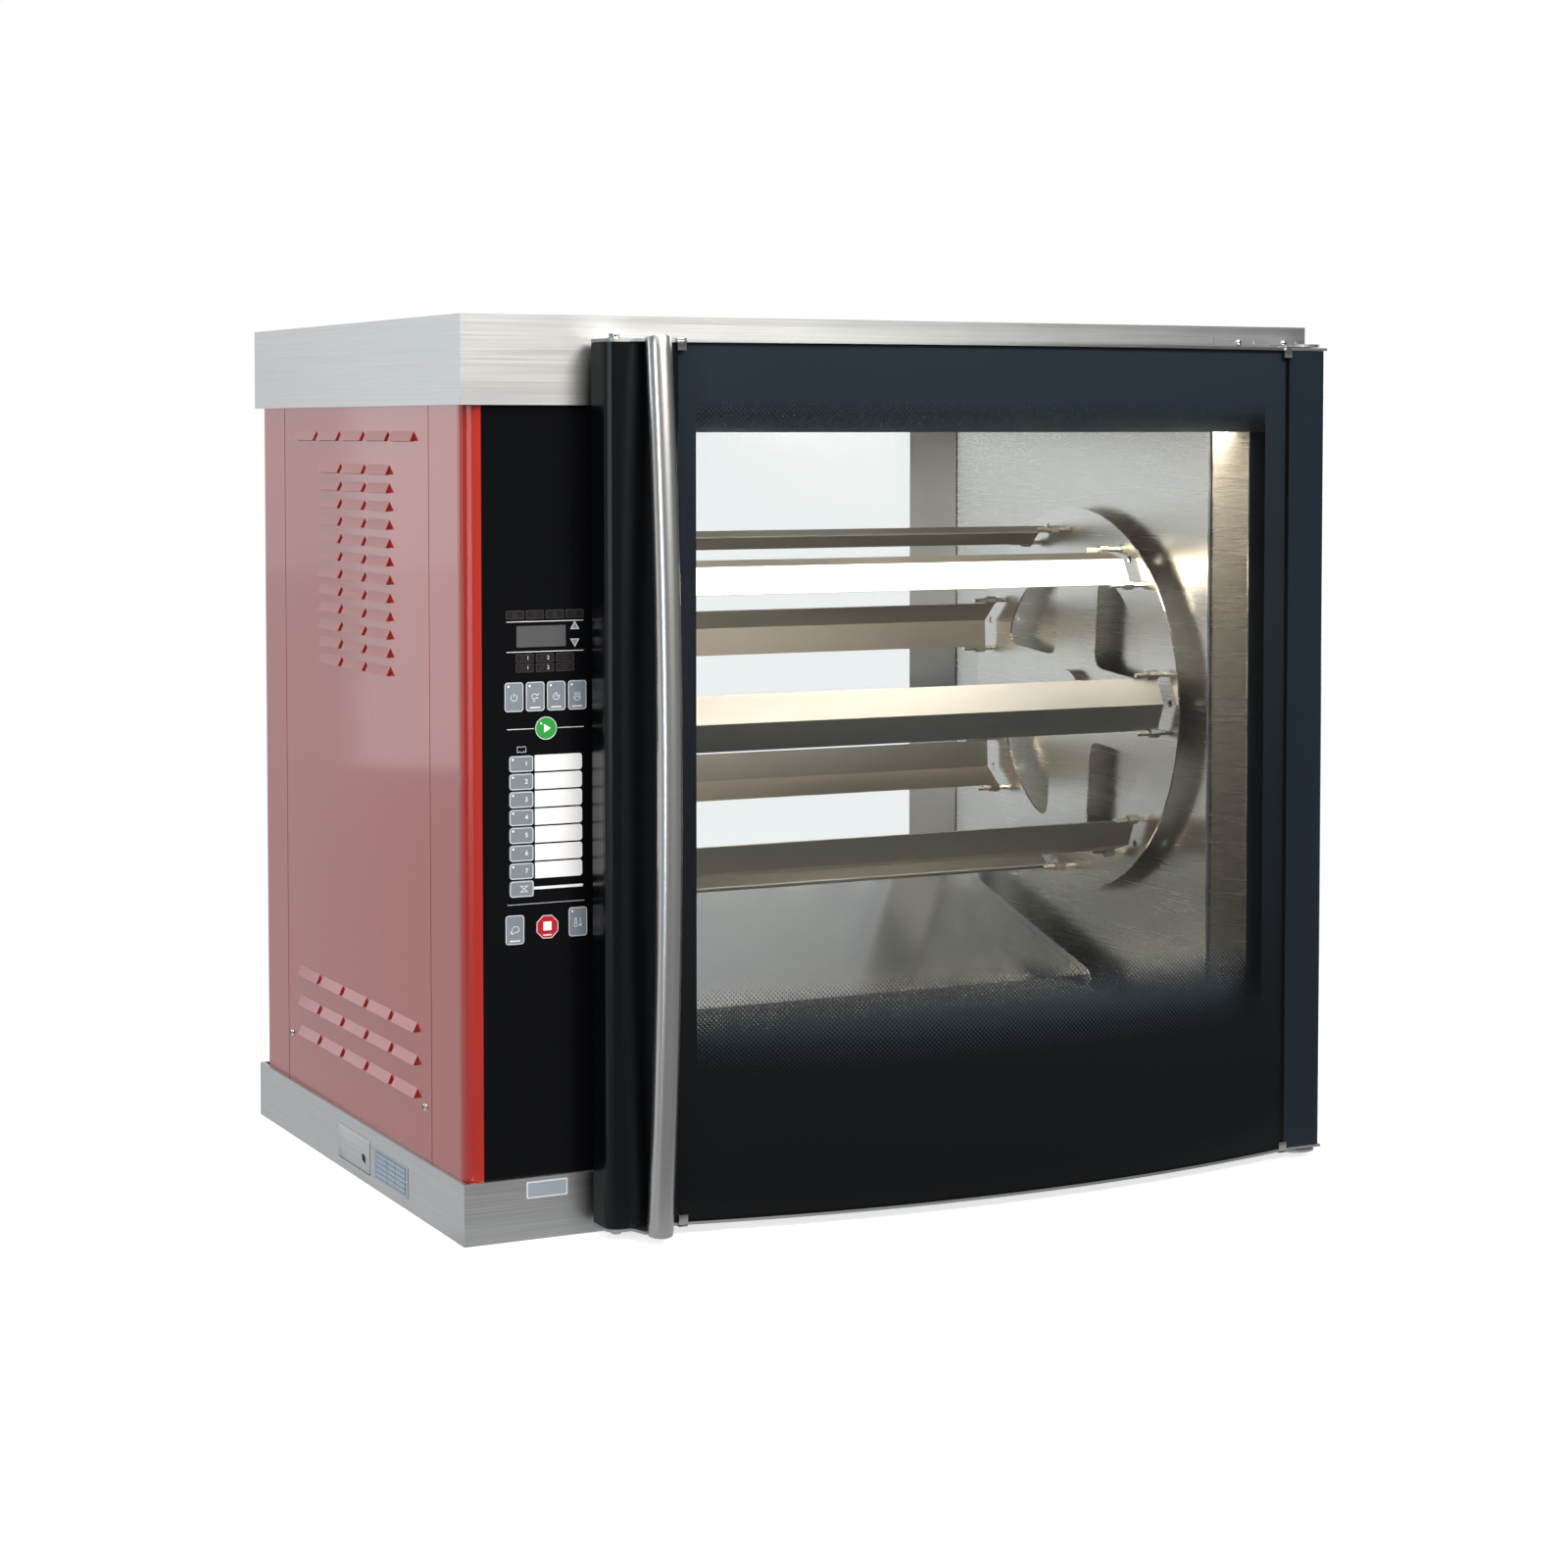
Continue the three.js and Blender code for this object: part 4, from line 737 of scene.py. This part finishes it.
def gasketLoop(name, x0, x1, z0, z1, y, corner):
    path = [Vector((u, y, v)) for u, v in rounded(x0, x1, z0, z1, [corner] * 4, 6)]
    points, faces, sides, count = [], [], bulb["sides"], len(path)
    for i, here in enumerate(path):
        ahead = (path[(i + 1) % count] - path[i - 1]).normalized()
        inward = ahead.cross(Vector((0, 1, 0))).normalized()
        for k in range(sides):
            angle = 2 * math.pi * k / sides
            spoke = inward * math.cos(angle) + Vector((0, 1, 0)) * math.sin(angle)
            points.append(here + bulb["radius"] * spoke)
    for i in range(count):
        for k in range(sides):
            a, b = i * sides + k, i * sides + (k + 1) % sides
            c, d = (i + 1) % count * sides + (k + 1) % sides, (i + 1) % count * sides + k
            faces.append((a, b, c, d))
    piece(name, "cabinet", [(points, faces)], gasketBlack)


for gasketName, sizes in gaskets.items():
    gasketLoop(gasketName, *sizes)


# Hand-run bead where the side wall meets the front jamb: its width and line wander a little.
bead = {"y": -0.2975, "low": 0.099, "high": 0.834, "radius": 1.9 * mm, "steps": 89}


def sealantBead(name, x, wander):
    y, path = bead["y"], []
    for i in range(bead["steps"] + 1):
        z = bead["low"] + (bead["high"] - bead["low"]) * i / bead["steps"]
        sway = wander * (math.sin(z * 61) + 0.6 * math.sin(z * 143 + 1.3) + 0.4 * math.sin(z * 290 + 0.4))
        path.append((x + sway, y + sway * 0.4, z))
    piece(name, "cabinet", [swept(path, bead["radius"], 10)], sealantGrey)


sealantBead("right_sealant_bead", 0.4035, 0.7 * mm)
sealantBead("left_sealant_bead", -0.2935, 0.6 * mm)

# Radius and height of each step of the lamp's turned parts, in mm, down from the roof.
lamp = {
    "bezel": ((30, 0), (30, -1.2), (26, -2.2), (23, -1.6), (22, 0)),
    "lens": ((22.5, -0.4), (18, -1.4), (0, -2)),
    "y": -0.245, "roof": 0.8378, "sides": 40,
}


def cavityLamp(name, x):
    centre = (x, lamp["y"], lamp["roof"])
    bezel, lens = (turned([(r * mm, h * mm) for r, h in lamp[part]], centre, "z", lamp["sides"])
                   for part in ("bezel", "lens"))
    piece(name, "cabinet", [bezel, (*lens, 1)], [chromePlate, halogenLens])


cavityLamp("cavity_lamp_right", 0.34)
cavityLamp("cavity_lamp_left", -0.225)

print("door details")
doorTop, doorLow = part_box("door_top_plate")[1].z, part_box("door_bottom_plate")[0].z


doorFaces = ((doorTop, 1), (doorLow, -1))  # the door's top and bottom, and which way each one looks
bolt = {
    "place": (-0.351, -0.372), "washer": 8 * mm, "washerHigh": 1.2 * mm, "head": 5.8 * mm, "high": 5.2 * mm,
}


def boltParts(face, way):
    x, y = bolt["place"]
    rim = way * bolt["washerHigh"]
    washer = turned([(bolt["washer"], 0), (bolt["washer"], rim), (0, rim)], (x, y, face), "z", 28)
    hexagon = arcPoints((x, y), bolt["head"], 0, 300, 5)
    return [washer, slab(hexagon, "z", *sorted((face + rim, face + way * bolt["high"])))]


piece("door_plate_bolts", "front_door", [part for ends in doorFaces for part in boltParts(*ends)],
      chromePlate, bevel=0.4 * mm)

clip = {"x": (-0.2865, 0.4405), "half": 5 * mm, "front": -0.3932, "back": -0.3912, "lapBack": -0.380,
        "reach": (1 * mm, 11 * mm), "sheet": 1.2 * mm}


def glassClips():
    parts = []
    for x in clip["x"]:
        x0, x1 = x - clip["half"], x + clip["half"]
        for face, way in doorFaces:
            z0, z1 = sorted(face - way * reach for reach in clip["reach"])
            parts.append(slab(rectangle(x0, x1, z0, z1), "y", clip["front"], clip["back"]))
            lap = sorted((face, face + way * clip["sheet"]))
            parts.append(slab(rectangle(x0, x1, clip["front"], clip["lapBack"]), "z", *lap))
    piece("glass_clips", "front_door", parts, chromePlate, bevel=0.3 * mm)


glassClips()
magnet = slab(rounded(-0.352, -0.332, 0.430, 0.490, [2 * mm] * 4), "y", -0.3504, -0.3472)
piece("door_latch_magnet", "front_door", [magnet], chromePlate, bevel=0.4 * mm)
handleScrews = {"places": [(-0.32, 0.370, z) for z in (0.318, 0.602)], "radius": 3.5 * mm}
screws("rear_handle_screws", "rear_door", handleScrews["places"], "y", 1, handleScrews["radius"])

print("control panel print")
keyY = panelY - 0.8 * mm  # the keys' faces stand this far out of the panel
# Rows of the program keys down the panel: the height of the first and the step to the next, in mm.
rows = {"x": 63.8, "first": 476, "step": 17.8, "programs": 7}
ink = {"outline": 0.85 * mm, "symbol": 0.5 * mm, "sunk": 0.05 * mm, "proud": 0.09 * mm}


# Places and sizes on the panel are given in mm from the base's left edge and from the floor.
def onPanel(x, z):
    return bandX + x * mm, z * mm


def printed(outlines, face, index=0):
    return [(*slab(outline, "y", face - ink["proud"], face + ink["sunk"]), index) for outline in outlines]


def panelLine(x0, x1, z, width):
    return stroke([onPanel(x0, z), onPanel(x1, z)], width)


def shifted(points, x, z, scale=1.0):
    u, v = onPanel(x, z)
    return [(u + p[0] * mm * scale, v + p[1] * mm * scale) for p in points]


def dot(x, z, radius):
    return [arcPoints(onPanel(x, z), radius * mm, 0, 337.5, 15)]


def numeral(text, size, x, z, face, index=0):
    data = bpy.data.curves.new("numeral", "FONT")
    data.body, data.size, data.extrude = text, size * mm, 0.5 * (ink["proud"] + ink["sunk"])
    data.align_x, data.align_y = "CENTER", "CENTER"
    data.offset = 0.06 * mm
    obj = bpy.data.objects.new("numeral", data)
    bpy.context.scene.collection.objects.link(obj)
    mesh = obj.evaluated_get(bpy.context.evaluated_depsgraph_get()).to_mesh()
    u, v = onPanel(x, z)
    middle = face - 0.5 * (ink["proud"] - ink["sunk"])
    points = [(u + p.co.x, middle + p.co.z, v + p.co.y) for p in mesh.vertices]
    faces = [tuple(f.vertices) for f in mesh.polygons]
    bpy.data.objects.remove(obj)
    return [(points, faces, index)]


smallBoxes = [(x, 623.9) for x in (58.0, 79.2, 100.4, 121.6)]
smallBoxes += [(x, z) for z in (580.7, 571.0) for x in (68.1, 89.7, 111.3)]
boxSymbols = ("probe", "hold", "steam", "clear", "power", "power", "loop", "loop", "loop", "book")


def symbolStrokes(kind):
    if kind == "power":
        return [arcPoints((0, 0), 3.3, 125, 415, 20), [(0, 1.0), (0, 4.6)]]
    if kind == "cook":
        return [arcPoints((-0.8, 0.6), 2.6, 20, 340, 16), [(1.7, 1.5), (3.6, 3.0), (4.2, 2.4)],
                [(1.7, -0.3), (3.4, -1.6)], [(-2.0, -2.4), (-2.0, -4.2), (0.4, -4.2)]]
    if kind == "hold":
        return [arcPoints((0, 0), 3.3, 60, 390, 20), [(0, 0), (0, 4.4)], [(0, 0), (3.0, 0.8)]]
    if kind == "steam":
        heights = (0.0, 0.8, 1.6, 2.4, 3.2, 4.0)
        waves = [[(x + 0.5 * math.sin(t * 1.9), t - 0.4) for t in heights] for x in (-2.4, 0, 2.4)]
        return waves + [arcPoints((0, -1.4), 3.4, 180, 360, 12), [(-3.9, -1.4), (3.9, -1.4)]]
    if kind == "loop":
        tail = [(-3.0, 0.0), (-4.2, -2.6), (-0.6, -2.4), (4.2, -1.0)]
        return [arcPoints((0.6, 0.4), 3.6, -20, 190, 18), tail, [(-4.6, -0.2), (-4.2, -2.8), (-1.9, -3.8)]]
    if kind == "probe":
        bulb = arcPoints((-2.4, -3.0), 1.7, 120, 420, 14)
        return [[(-3.2, -1.6), (-3.2, 4.0), (-1.6, 4.0), (-1.6, -1.6)], bulb, [(2.6, 4.2), (2.6, -3.8)],
                [(0.9, -2.0), (2.6, -4.2), (4.3, -2.0)]]
    if kind == "clear":
        return [[(-3.6, -2.8), (3.6, 2.8)], [(-3.6, 2.8), (3.6, -2.8)],
                [(-3.2, 2.4), (3.2, 2.4)], [(-3.2, -2.4), (3.2, -2.4)]]
    if kind == "book":
        leaf = [(0, -2.6), (0, 2.4), (2.2, 3.2), (4.6, 2.6), (4.6, -2.6), (2.2, -2.0), (0, -2.8)]
        return [leaf, [(-x, z) for x, z in leaf]]
    return [arcPoints((0, 0), 1.6, 0, 340, 12), [(0.9, 1.1), (2.6, 2.2)]]


def symbol(kind, x, z, scale=1.0, width=None):
    lines = [shifted(line, x, z, scale) for line in symbolStrokes(kind)]
    return [quad for line in lines for quad in stroke(line, width or ink["symbol"])]


def panelPrint():
    parts = []
    for x0, x1, z in ((49, 131, 617), (49, 131, 587), (49, 77.5, 510.5), (103.3, 131, 510.5)):
        parts += printed(panelLine(x0, x1, z, 0.6 * mm), panelY)
    parts += printed(panelLine(49, 131, 336, 0.45 * mm), panelY, 1)
    parts += printed(symbol("book", 64.5, 490), panelY, 1)
    for row in range(rows["programs"]):
        z = rows["first"] - row * rows["step"]
        x0, low = onPanel(78.4, z - 8.1)
        x1, high = onPanel(129.1, z + 8.1)
        parts += printed([rounded(x0, x1, low, high, [0, 3 * mm, 3 * mm, 0])], panelY)
    z = rows["first"] - rows["programs"] * rows["step"]
    x0, low = onPanel(76.8, z - 1.4)
    x1, high = onPanel(130, z + 1.4)
    parts += printed([rounded(x0, x1, low, high, [0, 1.35 * mm, 1.35 * mm, 0])], panelY)
    piece("panel_print", "cabinet", parts, [whiteInk, paleInk])


def panelIndicators():
    boxes = []
    for i, (x, z) in enumerate(smallBoxes):
        (x0, low), (x1, high) = onPanel(x - 9.2, z - 3.9), onPanel(x + 9.2, z + 3.9)
        outline = rounded(x0, x1, low, high, [0.6 * mm] * 4, 2)
        boxes += printed([outline], panelY + 0.02 * mm)
        boxes += printed(stroke(outline, 0.5 * mm, True), panelY, 1)
        aside = 3 if i >= 4 and i % 3 != 0 else 0  # makes room for the numeral beside it
        boxes += printed(symbol(boxSymbols[i], x - aside, z, 0.55, 0.35 * mm), panelY, 2)
    for x, z, text in ((71.6, 580.7, "1"), (93.2, 580.7, "2"), (71.6, 571.0, "1"), (93.2, 571.0, "2")):
        boxes += numeral(text, 5.2, x, z, panelY, 3)
    piece("panel_indicators", "cabinet", boxes, [dimFill, dimInk, dimInk, paleInk])
    (x0, low), (x1, high) = onPanel(59.6, 591.6), onPanel(111.9, 612.7)
    window = slab(rounded(x0, x1, low, high, [0.4 * mm] * 4, 2), "y", panelY - 0.12 * mm, panelY + 0.05 * mm)
    piece("display_window", "cabinet", [window], displayLens)


panelPrint()
panelIndicators()


# A key's print: its outline, its marks, and where it has them a lamp dot and a short bar.
def keyPrint(name, outline, marks, ledAt=None, bar=None, edge=paleInk):
    parts = printed(stroke(outline, ink["outline"], True), keyY, 1)
    parts += marks
    if ledAt:
        parts += printed(dot(*ledAt, 1.15), keyY)
    if bar:
        parts += printed(panelLine(bar[0] - 5.6, bar[0] + 5.6, bar[1], 1.1 * mm), keyY)
    piece(name + "_print", name + "_cap", parts, [whiteInk, edge])


# Each tall key: its place on the panel, its symbol, and whether it has a lamp dot and a bar.
def tallKeys():
    tall = {"key_power": (56.4, 542.5, "power", True, False), "key_cook": (78.9, 542.5, "cook", True, True),
            "key_hold": (101.4, 542.5, "hold", True, True), "key_lamp": (123.9, 542.5, "steam", True, True),
            "key_menu": (56.4, 311, "loop", False, True), "key_probe": (123.9, 315, "probe", True, False)}
    for name, (x, z, kind, led, bar) in tall.items():
        (x0, low), (x1, high) = onPanel(x - 9.4, z - 14.1), onPanel(x + 9.4, z + 14.1)
        outline = rounded(x0, x1, low, high, [2.6 * mm] * 4)
        keyPrint(name, outline, printed(symbol(kind, x, z - 0.5), keyY), (x - 5.9, z + 10.6) if led else None,
                 (x, z - 11) if bar else None)


def wideKeys():
    for row in range(rows["programs"] + 1):
        isClear = row == rows["programs"]
        name = "key_clear" if isClear else "key_program_" + str(row + 1)
        x, z = rows["x"], rows["first"] - row * rows["step"]
        (x0, low), (x1, high) = onPanel(x - 12.0, z - 7.3), onPanel(x + 12.0, z + 7.3)
        outline = rounded(x0, x1, low, high, [2.6 * mm, 1.2 * mm, 1.2 * mm, 2.6 * mm])
        if isClear:
            keyPrint(name, outline, printed(symbol("clear", x + 2.5, z, 1.2), keyY))
        else:
            keyPrint(name, outline, numeral(str(row + 1), 6.4, x + 5.4, z, keyY), (x - 8.9, z + 4.5))


def otherKeys():
    x, z = 90.4, 510.5
    play = [shifted([(-2.2, -4.4), (5.0, 0), (-2.2, 4.4)], x, z)]
    ring = arcPoints(onPanel(x, z), 11.1 * mm, 0, 352.5, 47)
    keyPrint("key_start", ring, printed(play, keyY), (x - 5.2, z + 5.0))
    x, z = 91.0, 312
    square = [shifted([(-4.4, -3.6), (4.4, -3.6), (4.4, 5.2), (-4.4, 5.2)], x, z)]
    bar = panelLine(x - 4.4, x + 4.4, z - 8.2, 1.2 * mm)
    octagon = arcPoints(onPanel(x, z), 12.1 * mm, 22.5, 337.5, 7)
    keyPrint("key_stop", octagon, printed(square + bar, keyY))
    for name, x, z, tip in (("key_up", 121.6, 611, 1), ("key_down", 121.6, 596, -1)):
        outline = arcPoints(onPanel(x, z), 4.5 * mm, tip * 90, tip * 90 + 240, 2)
        keyPrint(name, outline, [])


tallKeys()
wideKeys()
otherKeys()

print("floor, light and camera")
stage = {
    "size": 14.0, "below": 0.8 * mm, "nearEdge": 0.7, "farEdge": 1.5, "nearGlow": 0.62,
    "frontGlow": 0.14, "sweepGlow": 0.8, "floorFront": 0.2, "floorSweep": 0.62,
}


def buildStage():
    floor = bpy.data.meshes.new("studio_floor")
    half = stage["size"]
    corners = [(x, y, 0) for x, y in rectangle(-half, half, -half, half)]
    floor.from_pydata(corners, [], [(0, 1, 2, 3)])
    # Matt painted studio floor: near white with a faint mottle, fading to plain white away from the oven.
    material, tree = newMaterial("paleFloor")
    mottle = blotches(tree, 0.5)
    pale = addNode(tree, "BsdfDiffuse", {
        "Color": between(tree, mottle, linear("#f4f4f2"), linear("#f0f0ee")), "Roughness": 0.3})
    lit = addNode(tree, "Emission", {"Color": linear("#ffffff"), "Strength": stage["nearGlow"]})
    near = addNode(tree, "AddShader", {0: pale, 1: lit})
    white = addNode(tree, "Emission", {"Color": linear("#ffffff"), "Strength": 1.0})
    away = addNode(tree, "VectorMath", {0: addNode(tree, "TexCoord").outputs["Object"]}, operation="LENGTH")
    fade = spread(tree, away.outputs["Value"], 0.0, 1.0, stage["nearEdge"], stage["farEdge"])
    seen = addNode(tree, "MixShader", {0: fade, 1: near, 2: white})
    # What the oven mirrors of the floor: a bright sweep behind it and to its sides, dim studio in front.
    depthwise = addNode(tree, "SeparateXYZ", {0: addNode(tree, "TexCoord").outputs["Object"]}).outputs["Y"]
    glow = spread(tree, depthwise, stage["floorFront"], stage["floorSweep"], -0.55, -0.25)
    mirrored = addNode(tree, "Emission", {"Color": linear("#f6f8fa"), "Strength": glow})
    path = addNode(tree, "LightPath").outputs["Is Camera Ray"]
    floor.materials.append(finished(material, addNode(tree, "MixShader", {0: path, 1: mirrored, 2: seen})))
    obj = bpy.data.objects.new("studio_floor", floor)
    obj.location.z = -stage["below"]
    bpy.context.scene.collection.objects.link(obj)


buildStage()


def buildWorld():
    world = bpy.data.worlds.new("studioWorld")
    bpy.context.scene.world = world
    world.use_nodes = True
    tree = world.node_tree
    tree.nodes.clear()
    white = addNode(tree, "Background", {"Color": linear("#ffffff"), "Strength": 1.0})
    towards = addNode(tree, "SeparateXYZ", {0: addNode(tree, "TexCoord").outputs["Generated"]})
    sweep = spread(tree, towards.outputs["Y"], stage["frontGlow"], stage["sweepGlow"], 0.0, 0.7)
    overhead = spread(tree, towards.outputs["Z"], 1.0, 0.75, 0.28, 0.8)
    glow = addNode(tree, "Math", {0: sweep, 1: overhead}, operation="MULTIPLY")
    lit = addNode(tree, "Background", {"Color": linear("#f2f5f8"), "Strength": glow})
    path = addNode(tree, "LightPath").outputs["Is Camera Ray"]
    addNode(tree, "OutputWorld", {"Surface": addNode(tree, "MixShader", {0: path, 1: lit, 2: white})})


buildWorld()


def softbox(name, place, aim, width, height, watts, colour="#ffffff", mirrored=True):
    data = bpy.data.lights.new(name, "AREA")
    data.shape, data.size, data.size_y = "RECTANGLE", width, height
    data.energy, data.color = watts, linear(colour)[:3]
    obj = bpy.data.objects.new(name, data)
    obj.location = place
    obj.visible_glossy = mirrored
    obj.rotation_mode = "QUATERNION"
    obj.rotation_quaternion = (Vector(aim) - Vector(place)).to_track_quat("-Z", "Y")
    bpy.context.scene.collection.objects.link(obj)


# Name, place, point it looks at, width and height in metres, watts and colour.
softbox("overheadBox", (-0.1, -1.5, 3.3), (0.0, -0.2, 0.4), 3.2, 2.0, 120, "#fffaf4")
softbox("frontHighBox", (0.45, -3.3, 2.7), (-0.25, -0.3, 0.5), 2.4, 1.3, 105, "#fffaf4")
softbox("leftRearBox", (-3.1, 2.7, 0.75), (-0.4, 0.0, 0.65), 3.6, 2.6, 14, "#fbfdff")
softbox("frontLeftBox", (-3.4, -2.2, 1.0), (-0.2, -0.3, 0.45), 0.2, 2.2, 34, "#e2eef8")
softbox("leftFill", (-2.6, -2.6, 1.8), (-0.5, -0.2, 0.45), 1.5, 1.5, 18, mirrored=False)
softbox("rightRearBox", (3.4, 1.6, 1.4), (0.3, 0.0, 0.4), 2.4, 2.4, 40)
softbox("cavityStrip", (0.05, -0.255, 0.830), (0.08, -0.02, 0.3), 0.64, 0.09, 6.5, "#ffeed8")

view = {
    "place": (-1.584, -3.233, 0.807), "heading": 26.4, "lens": 72.3, "sensor": 36.0,
    "shift": -0.13, "exactShift": -0.2269,
}


def buildCamera():
    data = bpy.data.cameras.new("studioCamera")
    data.lens, data.sensor_width, data.shift_y = view["lens"], view["sensor"], view["shift"]
    data.clip_start, data.clip_end = 0.1, 100.0
    camera = bpy.data.objects.new("studioCamera", data)
    bpy.context.scene.collection.objects.link(camera)
    # Part of the lens shift is traded for a slight downward tilt, so that other views stay in frame.
    exact, kept = (math.atan(-view[key] * view["sensor"] / view["lens"]) for key in ("exactShift", "shift"))
    camera.location = view["place"]
    camera.rotation_euler = (math.radians(90) - (exact - kept), 0.0, -math.radians(view["heading"]))
    bpy.context.scene.camera = camera


buildCamera()
bpy.context.scene.view_settings.view_transform = "Standard"
